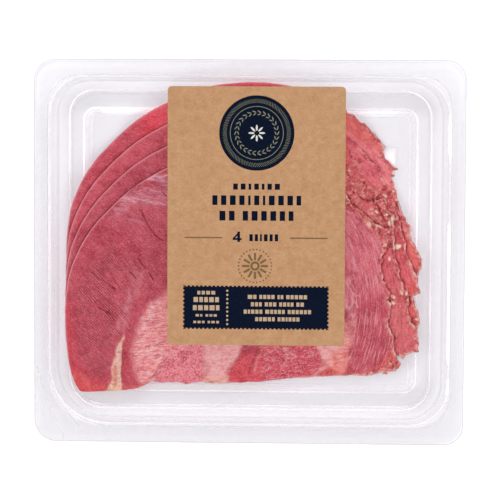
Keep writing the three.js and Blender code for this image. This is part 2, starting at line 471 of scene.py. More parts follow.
def blank_material(name: str) -> tuple[Material, NodeTree, Any]:
    """Makes a material.

    Args:
        name: The material's name.

    Returns:
        The material, its tree and the socket of the place on the object.
    """
    made = bpy.data.materials.new(name)
    made.use_nodes = True
    return made, made.node_tree, add_node(made.node_tree, "ShaderNodeTexCoord").outputs["Object"]


def lay_tones(tree: NodeTree, colour: Any, tones: Iterable[Tone], found: dict[str, Any]) -> Any:
    """Works tones over a base colour, one after the other.

    Args:
        tree: The material's tree.
        colour: The base colour or its socket.
        tones: The tones in order.
        found: Sockets of the patterns and areas by name.

    Returns:
        The socket of the finished colour.
    """
    node = partial(add_node, tree)
    for tone in tones:
        share = found.get(tone.area)
        if tone.pattern:
            levels = {"Value": found[tone.pattern], "From Min": tone.start, "From Max": tone.full}
            levels["To Max"] = tone.strength
            spread = node("ShaderNodeMapRange", levels, interpolation_type="SMOOTHSTEP")
            limited = {0: spread, 1: 1.0 if share is None else share}
            share = node("ShaderNodeMath", limited, operation="MULTIPLY")
        blend = "MULTIPLY" if tone.is_shade else "MIX"
        parts = {0: share, 6: colour, 7: linear(tone.colour)}
        colour = node("ShaderNodeMix", parts, data_type="RGBA", blend_type=blend).outputs[2]
    return colour


def dress_shader(tree: NodeTree, colour: Any, relief: Any, depth_mm: float, **numbers: Any) -> None:
    """Links a colour and a relief to the shader and sets its numbers.

    Args:
        tree: The material's tree.
        colour: Socket of the base colour.
        relief: Socket of the relief's height, or None for a flat surface.
        depth_mm: How deep the relief is.
        **numbers: Shader inputs by name, with _ for a space.
    """
    given = {"Base Color": colour, **{name.replace("_", " "): value for name, value in numbers.items()}}
    if relief is not None:
        given["Normal"] = add_node(tree, "ShaderNodeBump", {"Height": relief, "Distance": depth_mm * MM})
    set_inputs(tree, tree.nodes["Principled BSDF"], given)


@dataclass(frozen=True)
class ClearSheet:
    """Thin clear PET, thermoformed or drawn flat: glossy, faintly mauve, with a painted milky white for
    highlights on bends and for white seal lines.
    """

    name: str
    tint: str
    steep_tint: str
    roughness: float
    wave_mm: float
    wave_depth_mm: float
    white_and_highlight_colour: str = "#FFFFFF"
    glow_through: str = "#B4B4B4"
    shade: str = "#B5B3B9"
    ior: float = 1.46

    def material(self) -> Material:
        """Builds the material: a see-through sheet that mirrors by angle, with a painted milky white for
        highlights on bends and white seal lines.

        Returns:
            The material.
        """
        made, tree, place = blank_material(self.name)
        node = partial(add_node, tree)
        tree.nodes.remove(tree.nodes["Principled BSDF"])
        wave = node("ShaderNodeTexNoise", {"Vector": place, "Scale": 1 / (self.wave_mm * MM), "Detail": 1.5})
        relief = {"Height": wave, "Distance": self.wave_depth_mm * MM}
        bump = node("ShaderNodeBump", relief)
        side = node("ShaderNodeNewGeometry").outputs["Backfacing"]
        density = node("ShaderNodeMix", {0: side, 2: self.ior, 3: 1 / self.ior}, data_type="FLOAT")
        mirror = node("ShaderNodeFresnel", {"IOR": density, "Normal": bump})
        slant = node("ShaderNodeLayerWeight", {"Blend": 0.5}).outputs["Facing"]
        steep = node("ShaderNodeMath", {0: slant, 1: 3.0}, operation="POWER")
        shaded, whiteness_and_highlight = (
            node("ShaderNodeAttribute", attribute_name=name).outputs["Fac"] for name in ("shaded", "whiteness_and_highlight")
        )
        tones = (Tone("", 0, 1, 1, self.steep_tint, "steep"), Tone("", 0, 1, 1, self.shade, "shaded"))
        colour = lay_tones(tree, linear(self.tint), tones, {"steep": steep, "shaded": shaded})
        clear = node("ShaderNodeBsdfTransparent", {"Color": colour})
        shine = {"Color": (1, 1, 1, 1), "Roughness": self.roughness, "Normal": bump}
        gloss = node("ShaderNodeBsdfAnisotropic", shine)
        sheet = node("ShaderNodeMixShader", {0: mirror, 1: clear, 2: gloss})
        # Painted highlight: a bright diffuse and translucent white, laid where the sheet's bends are marked
        # as highlights, and on white seal lines.
        lit = node("ShaderNodeBsdfDiffuse", {"Color": linear(self.white_and_highlight_colour)})
        passed = node("ShaderNodeBsdfTranslucent", {"Color": linear(self.glow_through)})
        white_and_highlight_mix = node("ShaderNodeAddShader", {0: lit, 1: passed})
        whole = node("ShaderNodeMixShader", {0: whiteness_and_highlight, 1: sheet, 2: white_and_highlight_mix})
        set_inputs(tree, tree.nodes["Material Output"], {"Surface": whole})
        return made


@dataclass(frozen=True)
class KraftPaper:
    """Uncoated brown kraft paper, machine made: matt, with short mottled fibres and faint specks.

    Real paper fibres are too fine to show, so they are drawn coarser, at about a millimetre.
    """

    name: str = "kraft_paper_uncoated"
    base: str = "#BC906A"
    tones: tuple[Tone, ...] = (
        Tone("pulp", 1.0, 0.72, 1.0, "#B28661"),
        Tone("pulp", 1.0, 1.28, 1.0, "#C39974"),
    )
    cloud_mm: float = 2.6
    fibre_mm: Pair = (1.3, 0.6)
    fibre_lie: float = 0.5
    relief_mm: float = 0.01

    def material(self) -> Material:
        """Builds the material: cloudy pulp with short fibres lying both ways.

        Returns:
            The material.
        """
        made, tree, place = blank_material(self.name)
        node = partial(add_node, tree)
        soft = {"Vector": place, "Scale": 1 / (self.cloud_mm * MM), "Detail": 3.0}
        cloud = node("ShaderNodeTexNoise", soft)
        size = (self.fibre_mm[0] * MM, self.fibre_mm[1] * MM, 1)
        turned = {"Vector": place, "Rotation": (0, 0, self.fibre_lie), "Scale": size}
        lying = node("ShaderNodeMapping", turned, vector_type="TEXTURE")
        fibre = node("ShaderNodeTexNoise", {"Vector": lying, "Scale": 1.0, "Detail": 2.0})
        pulp = node("ShaderNodeMath", {0: cloud, 1: fibre})
        colour = lay_tones(tree, linear(self.base), self.tones, {"pulp": pulp})
        dress_shader(tree, colour, pulp, self.relief_mm, Roughness=0.9, Specular_IOR_Level=0.25)
        return made


@dataclass(frozen=True)
class PrintInk:
    """Matt printing ink on kraft paper: the paper's mottle shows faintly through it."""

    name: str
    base: str
    worn: str
    mottle_mm: float = 0.9

    def material(self) -> Material:
        """Builds the material: ink that is a little thinner in spots.

        Returns:
            The material.
        """
        made, tree, place = blank_material(self.name)
        spots = {"Vector": place, "Scale": 1 / (self.mottle_mm * MM), "Detail": 3.0}
        mottle = add_node(tree, "ShaderNodeTexNoise", spots)
        thin = Tone("mottle", 0.5, 0.72, 1.0, self.worn)
        colour = lay_tones(tree, linear(self.base), (thin,), {"mottle": mottle})
        dress_shader(tree, colour, None, 0.0, Roughness=0.7, Specular_IOR_Level=0.12)
        return made


@dataclass(frozen=True)
class CuredMeat:
    """Cooked cured ox tongue, pressed and sliced: moist, rose red, in long fibres with pale fat between.

    Single muscle fibres are too fine to show, so they are drawn as bundles of 0.4 to 1.5 mm.
    """

    name: str = "cured_tongue_sliced"
    roughness: float = 0.42
    ior: float = 1.34
    fibres_mm: tuple[tuple[str, float, float, float], ...] = (
        ("fine", 3.4, 0.4, 2.5), ("bold", 10.0, 1.5, 2.0), ("hair", 8.0, 0.62, 0.0),
    )
    noises_mm: tuple[tuple[str, float, float], ...] = (
        ("cloud", 5.0, 3.0), ("stretches", 3.2, 2.0), ("breaks", 1.1, 2.0), ("patchy", 2.4, 2.0),
        ("grain", 0.62, 2.0), ("grit", 0.95, 2.0),
    )
    line_mm: float = 0.8
    streak_mm: Pair = (3.4, 0.66)
    vein_mm: float = 2.3
    curl_mm: float = 1.8
    crumb_mm: float = 1.7
    warp_mm: float = 2.9
    warp_reach_mm: Pair = (2.2, 1.6)
    relief_mm: float = 0.085
    grit_relief: float = 3.5
    left_lie: float = -0.84
    top_lie: float = -0.16
    streak_lie: float = 0.12
    tones: tuple[Tone, ...] = (
        Tone("cloud", 0.5, 0.36, 0.6, "#DCA4B0", "", True),
        Tone("cloud", 0.52, 0.66, 0.22, "#EC7A82"),
        Tone("bold", 0.5, 0.36, 0.4, "#DAB2BA", "", True),
        Tone("bold", 0.52, 0.68, 0.16, "#F0B0B8"),
        Tone("fine", 0.5, 0.36, 0.8, "#DAB2BA", "", True),
        Tone("fine", 0.52, 0.66, 0.36, "#F0B0B8"),
        Tone("hair", 0.56, 0.66, 0.62, "#F4A8AC", "hairy"),
        Tone("lines", 0.55, 0.0, 1.0, "#C898A4", "lined_stretches", True),
        Tone("lines", 0.6, 1.0, 0.2, "#F0B0B8", "lined_stretches"),
        Tone("streaks", 0.5, 0.66, 0.7, "#FCD8D3", "marbling"),
        Tone("streaks", 0.47, 0.34, 0.6, "#D06476", "marbling"),
        Tone("curl_middle", 0.05, 0.012, 0.6, "#F6B2B4", "broken_squiggles"),
        Tone("curl_low", 0.03, 0.006, 0.65, "#A82C44", "broken_squiggles"),
        Tone("cells", 0.09, 0.01, 0.3, "#F3A9AC", "patchy_squiggles"),
        Tone("grain", 0.5, 0.34, 1.0, "#C48494", "grain_share", True),
        Tone("grain", 0.52, 0.68, 0.6, "#F8BCBA", "grain_share"),
        Tone("grit", 0.5, 0.34, 0.7, "#C88490", "gritty", True),
        Tone("grit", 0.52, 0.66, 0.6, "#F6A498", "gritty"),
        Tone("crumb_kind", 0.55, 1.0, 0.45, "#F6A498", "gritty"),
        Tone("crumb_kind", 0.4, 0.0, 0.8, "#C88490", "gritty", True),
        Tone("crumb_kind", 0.965, 0.98, 0.6, "#FBE3C6", "grittiest"),
        # Painted shade: dark red in the cracks between crumbs
        Tone("crease_shade", 0.1, 0.0, 0.45, "#A00C24", "gritty"),
        Tone("grit", 0.2, 0.5, 1.0, "#FBE3C6", "fat"),
        # Painted shade: dark red in slits, pits, crumb holes and the seams under the edges of slices on top
        Tone("", 0, 1, 1, "#90061C", "gloom"),
        # Painted highlight: a pale line along each cut rim, where the edge catches the light
        Tone("", 0, 1, 1, "#F4A4AA", "rim"),
    )

    def fibres(self, tree: NodeTree, size: Sequence[float], places: Sequence[Any], lie: Any) -> Any:
        """Adds one size of fibre, lying three ways and mixed by the weights in lie.

        Args:
            tree: The material's tree.
            size: Fibre length and width in mm, and how many finer layers they have.
            places: Sockets of the place, and of the place along and across the curved fibres, in mm.
            lie: Socket of the three weights.

        Returns:
            The socket of the mixed fibre pattern.
        """
        length, width, detail = size
        node = partial(add_node, tree)
        strands = {}
        ways = ((places[0], self.left_lie), (places[0], self.top_lie), (places[1], 0.0))
        for i, (source, turn) in enumerate(ways):
            turned = {"Vector": source, "Rotation": (0, 0, turn), "Scale": (length, width, width * 3)}
            laid = node("ShaderNodeMapping", turned, vector_type="TEXTURE")
            noise = {"Vector": laid, "Scale": 1.0, "Detail": detail, "Roughness": 0.55}
            strands[i] = node("ShaderNodeTexNoise", noise)
        three = node("ShaderNodeCombineXYZ", strands)
        swing = node("ShaderNodeVectorMath", {0: three, 1: (0.5, 0.5, 0.5)}, operation="SUBTRACT")
        mixed = node("ShaderNodeVectorMath", {0: swing, 1: lie}, operation="DOT_PRODUCT").outputs["Value"]
        return node("ShaderNodeMath", {0: mixed, 1: 0.5})

    def areas(self, tree: NodeTree) -> dict[str, Any]:
        """Reads the painted areas of the slices, by name.

        Args:
            tree: The material's tree.

        Returns:
            The sockets of the areas.
        """
        found = {}
        # The second vector holds grit, painted shade in hollows and a painted highlight on cut rims
        for attribute, names in (
            ("marks", ("fat", "squiggles", "marbling")),
            ("grit_shade_and_highlight", ("gritty", "gloom", "rim")),
            ("cut", ("grain_share", "hairy", "lined")),
        ):
            vector = add_node(tree, "ShaderNodeAttribute", attribute_name=attribute).outputs["Vector"]
            found.update(zip(names, add_node(tree, "ShaderNodeSeparateXYZ", {0: vector}).outputs))
        return found

    def patterns(self, tree: NodeTree, spot: Any) -> dict[str, Any]:
        """Adds the patterns that need no painted area, by name.

        Args:
            tree: The material's tree.
            spot: Socket of the place in mm.

        Returns:
            The patterns' sockets.
        """
        found = {}
        node = partial(add_node, tree)
        for name, size, detail in self.noises_mm:
            noise = {"Vector": spot, "Scale": 1 / size, "Detail": detail}
            found[name] = node("ShaderNodeTexNoise", noise)
        turned = node("ShaderNodeVectorRotate", {"Vector": spot, "Axis": (0, 0, 1), "Angle": -self.left_lie})
        waves = {"Vector": turned, "Scale": math.tau / 20 / self.line_mm}
        waves.update({"Distortion": 4.5, "Detail": 2.0, "Detail Scale": 0.7})
        found["lines"] = node("ShaderNodeTexWave", waves, bands_direction="Y").outputs["Fac"]
        warp = node("ShaderNodeTexNoise", {"Vector": spot, "Scale": 1 / self.warp_mm, "Detail": 2.0})
        warp = warp.outputs["Color"]
        moves = ({0: warp, 1: (by, by, 0.0), 2: spot} for by in self.warp_reach_mm)
        pushed, shaken = (
            node("ShaderNodeVectorMath", move, operation="MULTIPLY_ADD") for move in moves
        )
        length, width = self.streak_mm
        turned = {"Vector": pushed, "Rotation": (0, 0, self.streak_lie), "Scale": (length, width, width)}
        laid = node("ShaderNodeMapping", turned, vector_type="TEXTURE")
        streaks = {"Vector": laid, "Scale": 1.0, "Detail": 3.0}
        found["streaks"] = node("ShaderNodeTexNoise", streaks)
        loops = {"Vector": pushed, "Scale": 1 / self.curl_mm, "Detail": 1.0}
        curl = node("ShaderNodeTexNoise", loops)
        for name, level in (("curl_middle", 0.5), ("curl_low", 0.4)):
            off = node("ShaderNodeMath", {0: curl, 1: level}, operation="SUBTRACT")
            found[name] = node("ShaderNodeMath", {0: off}, operation="ABSOLUTE")
        for name, place, size in (("cells", pushed, self.vein_mm), ("crease_shade", shaken, self.crumb_mm)):
            cells = {"Vector": place, "Scale": 1 / size}
            found[name] = node("ShaderNodeTexVoronoi", cells, feature="DISTANCE_TO_EDGE").outputs["Distance"]
        crumb = node("ShaderNodeTexVoronoi", {"Vector": shaken, "Scale": 1 / self.crumb_mm}).outputs
        found["crumb_kind"] = node("ShaderNodeSeparateXYZ", {0: crumb["Color"]})
        found["crumb_dome"] = crumb["Distance"]
        return found

    def material(self) -> Material:
        """Builds the material: painted flesh colour, worked over with fibres, veins, fat, grit, painted shade
        in hollows and painted highlights on rims.

        Returns:
            The material.
        """
        made, tree, place = blank_material(self.name)
        node = partial(add_node, tree)
        spot = node("ShaderNodeVectorMath", {0: place, "Scale": 1 / MM}, operation="SCALE")
        lie, sweep, flesh = (
            node("ShaderNodeAttribute", attribute_name=name).outputs[kind]
            for name, kind in (("lie", "Vector"), ("sweep", "Vector"), ("flesh", "Color"))
        )
        found = {**self.patterns(tree, spot), **self.areas(tree)}
        for name, *size in self.fibres_mm:
            found[name] = self.fibres(tree, size, (spot, sweep), lie)
        for name, pattern, start, full, area in (
            ("lined_stretches", "stretches", 0.32, 0.56, "lined"),
            ("broken_squiggles", "breaks", 0.42, 0.54, "squiggles"),
            ("patchy_squiggles", "patchy", 0.5, 0.6, "squiggles"),
            ("grittiest", "gritty", 0.0, 1.0, "gritty"),
        ):
            levels = {"Value": found[pattern], "From Min": start, "From Max": full}
            spread = node("ShaderNodeMapRange", levels, interpolation_type="SMOOTHSTEP")
            found[name] = node("ShaderNodeMath", {0: spread, 1: found[area]}, operation="MULTIPLY")
        colour = lay_tones(tree, flesh, self.tones, found)
        strands = {0: found["bold"], 1: 0.9, 2: found["fine"]}
        relief = node("ShaderNodeMath", strands, operation="MULTIPLY_ADD")
        domes = node("ShaderNodeMath", {0: found["grit"], 1: found["crumb_dome"]}, operation="SUBTRACT")
        rough = node("ShaderNodeMath", {0: found["gritty"], 1: self.grit_relief}, operation="MULTIPLY")
        parts = {0: domes, 1: rough, 2: relief}
        height = node("ShaderNodeMath", parts, operation="MULTIPLY_ADD")
        dress_shader(tree, colour, height, self.relief_mm, Roughness=self.roughness, IOR=self.ior)
        return made


@dataclass(frozen=True)
class StudioPaper:
    """White seamless backdrop paper, lit to near white: matt, with an even glow.

    Its tooth is too fine to show, so it is drawn coarser, at 2.5 mm.
    """

    name: str = "backdrop_paper"
    base: str = "#FAFAFA"
    tooth: Tone = Tone("grain", 0.3, 0.7, 1.0, "#F6F6F6")
    tooth_mm: float = 2.5
    glow: float = 0.36

    def material(self) -> Material:
        """Builds the material: matt white paper with an even glow.

        Returns:
            The material.
        """
        made, tree, place = blank_material(self.name)
        tooth = {"Vector": place, "Scale": 1 / (self.tooth_mm * MM)}
        grain = add_node(tree, "ShaderNodeTexNoise", tooth)
        colour = lay_tones(tree, linear(self.base), (self.tooth,), {"grain": grain})
        glow = {"Emission_Color": (1, 1, 1, 1), "Emission_Strength": self.glow}
        dress_shader(tree, colour, None, 0.0, Roughness=1.0, Specular_IOR_Level=0.0, **glow)
        return made


# Tray


@dataclass(frozen=True)
class Ring:
    """One ring of the tray's upper surface: a rounded rectangle at a height."""

    half: Pair
    z: float
    middle: float
    corners: Numbers

    def mixed(self, other: "Ring", share: float) -> "Ring":
        """A ring between this one and another.

        Args:
            other: The other ring.
            share: How far the new one is on the way to it.

        Returns:
            The new ring.
        """

        def between(a: float, b: float) -> float:
            """A value a share of the way from a to b."""
            return a + (b - a) * share

        return Ring(
            tuple(map(between, self.half, other.half)),
            between(self.z, other.z),
            between(self.middle, other.middle),
            tuple(map(between, self.corners, other.corners)),
        )


@dataclass
class Tray:
    """The clear thermoformed tray: flange, wall, two ledges and floor, all 0.5 mm thick."""

    wall: float = 0.5
    bend: float = 0.9
    bend_steps: int = 8
    corner_steps: int = 18
    side_steps: int = 26
    support: float = 0.35
    # Painted highlight levels at each bend (right, top, left, bottom, corner), and on some slopes
    highlight_sides: tuple[Numbers, ...] = (
        (0.0, 0.0, 0.0, 0.0, 0.0),
        (0.0, 0.0, 0.0, 0.0, 0.0),
        (0.3, 0.06, 0.5, 0.35, 0.1),
        (0.0, 0.0, 0.0, 0.12, 0.1),
        (0.85, 0.3, 0.85, 0.45, 0.85),
        (0.0, 0.1, 0.0, 0.5, 0.1),
        (0.85, 0.6, 0.85, 0.28, 0.9),
        (0.14, 0.2, 0.16, 0.08, 0.14),
    )
    highlight_slopes: dict[int, Numbers] = field(
        default_factory=lambda: {
            2: (0.04, 0.0, 0.0, 0.03, 0.03),
            4: (0.0, 0.0, 0.0, 0.35, 0.05),
            6: (0.05, 0.6, 0.05, 0.08, 0.15),
        }
    )
    shaded_rings: Numbers = (0.6, 0.15, 0.05, 0.16, 0.0, 0.08, 0.0, 0.04)
    shaded_flange: float = 0.1
    light_end: Pair = (50.0, 72.0)
    mouth_glints: tuple[Pair, ...] = ((39.6, 57.6), (-45.0, 12.8), (-58.4, -52.8))
    break_up_mm: float = 26.0
    # A low pad on the tray floor that carries a painted glare
    glare_pad_centre: Point = (58.7, 39.1)
    glare_pad_half: Pair = (2.6, 4.4)
    glare_pad_height: float = 0.08
    glare_pad_brightness: float = 0.62
    rings: tuple[Ring, ...] = (
        Ring((90.0, 80.3), 13.1, 0.0, (8.2, 9.2, 9.6, 8.2)),
        Ring((89.4, 79.7), 14.0, 0.0, (7.6, 8.6, 9.0, 7.6)),
        Ring((82.8, 71.8), 14.0, 0.2, (15.8, 14.6, 24.0, 16.5)),
        Ring((80.8, 70.9), 5.0, 0.4, (14.6, 13.6, 21.5, 15.5)),
        Ring((75.6, 66.8), 4.7, 0.1, (11.0, 10.0, 14.0, 11.5)),
        Ring((74.9, 65.8), 3.1, 0.1, (10.4, 9.4, 13.4, 11.0)),
        Ring((69.9, 59.4), 2.9, 0.0, (5.0, 5.0, 6.5, 5.0)),
        Ring((66.9, 57.0), 0.5, 0.0, (2.6, 2.6, 3.6, 2.6)),
        Ring((60.0, 50.0), 0.5, 0.0, (2.0, 2.0, 2.0, 2.0)),
    )
    finish: ClearSheet = ClearSheet("tray_pet_thermoformed", "#FBFBFC", "#F5F4F7", 0.04, 30.0, 0.0005)

    def profile(self) -> tuple[list[Ring], list[tuple[int, float, int]]]:
        """Rings from the edge to the floor with a small bend at each inner corner.

        Returns:
            The rings, and for each the number of its bend, how far the sheet is bent there, and the
            number of the slope that it lies on, or -1 in a bend.
        """
        rings, bent = [self.rings[0]], [(0, 1.0, -1)]
        for number, (before, here, after) in enumerate(zip(self.rings, self.rings[1:], self.rings[2:]), 1):
            spans = [math.hypot(o.half[0] - here.half[0], o.z - here.z) for o in (before, after)]
            lead, trail = (min(self.bend / span, 0.4) for span in spans)
            start, end = here.mixed(before, lead), here.mixed(after, trail)
            margins = [min((self.bend + self.support) / span, 0.48) for span in spans]
            rings.append(here.mixed(before, margins[0]))
            bent.append((number, 0.0, number - 1))
            for step in range(self.bend_steps + 1):
                t = step / self.bend_steps
                rings.append(start.mixed(here, t).mixed(here.mixed(end, t), t))
                bent.append((number, math.sin(math.pi * t), -1))
            rings.append(here.mixed(after, margins[1]))
            bent.append((number, 0.0, number))
        return rings + [self.rings[-1]], bent + [(len(self.rings) - 2, 0.0, len(self.rings) - 2)]

    def underside(self, rings: list[Ring]) -> list[Ring]:
        """The rings of the sheet's other face, each moved out through the sheet.

        Args:
            rings: The rings of the upper face.

        Returns:
            As many rings of the underside.
        """
        under = []
        for i, ring in enumerate(rings):
            before, after = rings[max(i - 1, 0)], rings[min(i + 1, len(rings) - 1)]
            length = math.hypot(after.half[0] - before.half[0], after.z - before.z)
            out = self.wall * (before.z - after.z) / length
            down = self.wall * (before.half[0] - after.half[0]) / length
            is_last = i == len(rings) - 1
            half = ring.half if is_last else tuple(value + out for value in ring.half)
            z = 0.0 if is_last else max(ring.z - down, 0.0)
            under.append(Ring(half, z, ring.middle, tuple(max(v + out, 0.5) for v in ring.corners)))
        return under

    def whiteness_and_highlight(self, flat: Array, number: int, bent: float, slope: int) -> Array:
        """How much painted highlight the sheet gets along one ring: by side and corner, in broken stretches.

        Args:
            flat: The ring's points.
            number: Which bend it belongs to.
            bent: How far the sheet is bent at this ring, from 0 to 1.
            slope: Which slope it lies on, or -1.

        Returns:
            A painted highlight level for each point.
        """
        levels = self.highlight_sides[number] if slope < 0 else self.highlight_slopes.get(slope, (0.0,) * 5)
        right, top, left, bottom, corner = levels
        bent = bent if slope < 0 else 1.0
        x, y = flat.T
        x_share = smooth(np.abs(x) / np.abs(x).max(), 0.86, 0.995)
        y_share = smooth(np.abs(y) / np.abs(y).max(), 0.86, 0.995)
        side_x, side_y = np.where(x > 0, right, left), np.where(y > 0, top, bottom)
        corners = np.minimum(x_share, y_share) * 2
        straight = (side_x * x_share + side_y * y_share) / np.maximum(x_share + y_share, 1e-3)
        level = straight * (1 - np.clip(corners, 0, 1)) + corner * np.clip(corners, 0, 1)
        broken = smooth(layered_noise(x + 31 * number, y, self.break_up_mm, 90 + number, 2), -0.5, 0.1)
        # Painted highlights along the bends, and below them painted glints on the right side of the mouth
        white = bent**7 * level * (0.3 + 0.7 * broken)
        if number == 2 and slope < 0:
            glint = sum(
                smooth(y, low - 0.5, low + 0.5) * smooth(-y, -high - 0.5, 0.5 - high)
                for low, high in self.mouth_glints
            )
            white = np.maximum(white, glint * (x > 0) * smooth(bent, 0.0, 0.3))
        return white

    def build_glare_pad(self, material: Material) -> None:
        """Builds a small low pad on the floor beside the torn slices, painted white as a glare on the tray
        floor.

        Args:
            material: The tray's plastic.
        """
        rim = rounded_rectangle(self.glare_pad_half, (0.8,) * 4, self.glare_pad_centre, 4)
        floor = self.rings[-1].z + 0.01
        face = [tuple(range(len(rim)))]
        glare_pad = closed_sheet("tray_floor_glare_pad", rim, face, len(rim), floor + self.glare_pad_height, floor)
        store(glare_pad, "whiteness_and_highlight", "FLOAT", np.full(len(glare_pad.data.vertices), self.glare_pad_brightness))
        finish_piece(glare_pad, material, "tray_plastic")

    def build(self) -> None:
        """Builds the closed tray shell and its glare pad, and dresses them."""
        upper, bent = self.profile()
        loops = list(reversed(upper)) + self.underside(upper)
        points, faces, whiteness_and_highlight, shaded = [], [], [], []
        for ring, (number, share, slope) in zip(loops, list(reversed(bent)) + bent):
            flat = even_ring(ring, self.corner_steps, self.side_steps)
            points += [(x, y, ring.z) for x, y in flat]
            whiteness_and_highlight += self.whiteness_and_highlight(flat, number, share, slope).tolist()
            flange = self.shaded_flange if number < 2 or (number == 2 and slope == 1) else 0.0
            darker = flange * (1 - 0.7 * smooth(flat[:, 1], *self.light_end))
            shaded += np.maximum(self.shaded_rings[number] * share, darker).tolist()
        count = len(points) // len(loops)
        for row in range(len(loops) - 1):
            for i in range(count):
                a, b = row * count + i, row * count + (i + 1) % count
                faces.append((a, a + count, b + count, b))
        last = (len(loops) - 1) * count
        faces.append(tuple(range(count)))
        faces.append(tuple(range(last + count - 1, last - 1, -1)))
        tray = make_object("tray_shell", np.array(points), faces)
        store(tray, "whiteness_and_highlight", "FLOAT", np.array(whiteness_and_highlight))
        store(tray, "shaded", "FLOAT", np.array(shaded))
        plastic = self.finish.material()
        self.build_glare_pad(plastic)
        finish_piece(tray, plastic, "tray_plastic", "tray")


def even_ring(ring: Ring, corner_steps: int, side_steps: int) -> Array:
    """The points of a ring, with steps along its sides too.

    Args:
        ring: The ring.
        corner_steps: Steps round each corner.
        side_steps: Steps along each side.

    Returns:
        An array of points, counter-clockwise.
    """
    corners = rounded_rectangle(ring.half, ring.corners, (0.0, ring.middle), corner_steps)
    size, parts = corner_steps + 1, []
    for quarter in range(4):
        arc = corners[quarter * size : (quarter + 1) * size]
        following = corners[(quarter + 1) % 4 * size]
        shares = np.arange(1, side_steps)[:, None] / side_steps
        parts += [arc, arc[-1] + (following - arc[-1]) * shares]
    return np.vstack(parts)


# Lid film


@dataclass
class LidFilm:
    """The clear film sealed over the flange, a little slack over the mouth, with its seal lines."""

    half: Pair = (89.0, 79.3)
    corner: float = 8.5
    bottom: float = 14.02
    top: float = 14.17
    grid: float = 2.5
    slack: float = 0.16
    slack_reach: float = 9.0
    label_hold: float = 1.5
    mouth_half: Pair = (81.0, 70.0)
    finish: ClearSheet = ClearSheet("lid_film_pet", "#FDFCFD", "#F0EEF3", 0.03, 24.0, 0.01)
    seal_finish: ClearSheet = ClearSheet("heat_seal_line", "#FFFFFF", "#F4F2F6", 0.08, 6.0, 0.01)
    seal_width: float = 0.36
    seal_height: float = 0.05
    seal_lift: float = 0.004
    seal_step: float = 1.2
    seal_whiteness: float = 0.22
    peel_inner: tuple[Point, ...] = (
        (-83.9, -36.0), (-83.7, -45.6), (-83.2, -53.1), (-81.6, -57.8), (-79.0, -63.4), (-77.1, -65.8),
        (-70.6, -73.6),
    )
    seal_half: Pair = (83.9, 73.4)
    seal_corners: Numbers = (12.5, 13.0, 27.0, 13.0)
    peel_path: tuple[Point, ...] = ((-88.7, -48.5), (-85.1, -59.2), (-81.6, -68.2), (-77.0, -78.7))

    def sag(self, x: Array, y: Array) -> Array:
        """How far the film hangs below flat: slack between the mouth and the label.

        Args:
            x, y: Positions in mm.

        Returns:
            Depths in mm.
        """
        free = smooth(self.mouth_half[0] - np.abs(x), 0, self.slack_reach)
        free = free * smooth(self.mouth_half[1] - np.abs(y), 0, self.slack_reach)
        past = (np.abs(way - mid) - half for way, mid, half in zip((x, y), LABEL_CENTRE, LABEL_HALF))
        free = free * smooth(np.maximum(*past), self.label_hold, self.slack_reach)
        return free * self.slack * (0.6 + 0.4 * layered_noise(x, y, 24, 5, 2))

    def build_sheet(self) -> Object:
        """Builds the film as one closed thin sheet.

        Returns:
            The film.
        """
        rim = rounded_rectangle(self.half, (self.corner,) * 4, (0.0, 0.0), 12)
        rim = even_steps(rim, self.grid)
        columns = np.arange(-self.half[0] + self.grid, self.half[0], self.grid)
        rows = np.arange(-self.half[1] + self.grid, self.half[1], self.grid)
        x, y = (a.ravel() for a in np.meshgrid(columns, rows))
        keep = depth_inside(x, y, rim.tolist()) > self.grid * 0.45
        flat, faces = triangulate(rim, np.column_stack([x[keep], y[keep]]))
        drop = self.sag(*flat.T)
        return closed_sheet("film_sheet", flat, faces, len(rim), self.top - drop, self.bottom - drop)

    def seal_line(self, name: str, path: Path, is_closed: bool) -> Object:
        """Builds one low bead of the heat seal along a path on the film.

        Args:
            name: The piece's name.
            path: The path's points.
            is_closed: Whether the bead runs back to its start.

        Returns:
            The bead.
        """
        line = even_steps(path, self.seal_step, is_closed)
        side = left_ways(line, is_closed)
        floor = self.top + self.seal_lift
        crest = floor + self.seal_height
        section = ((-0.5, floor), (-0.25, crest), (0.25, crest), (0.5, floor))
        points = [(*(p + s * off * self.seal_width), z) for p, s in zip(line, side) for off, z in section]
        count, faces = len(line), []
        for i in range(count if is_closed else count - 1):
            a, b = i * 4, (i + 1) % count * 4
            for k in range(4):
                faces.append((a + k, b + k, b + (k + 1) % 4, a + (k + 1) % 4))
        if not is_closed:
            faces += [(0, 1, 2, 3), (count * 4 - 1, count * 4 - 2, count * 4 - 3, count * 4 - 4)]
        bead = make_object(name, np.array(points), faces)
        store(bead, "whiteness_and_highlight", "FLOAT", np.full(len(points), self.seal_whiteness))
        return bead

    def build(self) -> None:
        """Builds and dresses the film and its seal lines."""
        finish_piece(self.build_sheet(), self.finish.material(), "lid_film", "lid_film")
        seal = self.seal_finish.material()
        inner = rounded_rectangle(self.seal_half, self.seal_corners, (0.0, 0.2), 14)
        loop = self.seal_line("seal_inner_line", inner, True)
        peel = self.seal_line("seal_peel_line", spline_through(self.peel_path, 6), False)
        second = self.seal_line("seal_peel_line_inner", spline_through(self.peel_inner, 6), False)
        for bead in (loop, peel, second):
            finish_piece(bead, seal, "lid_film")


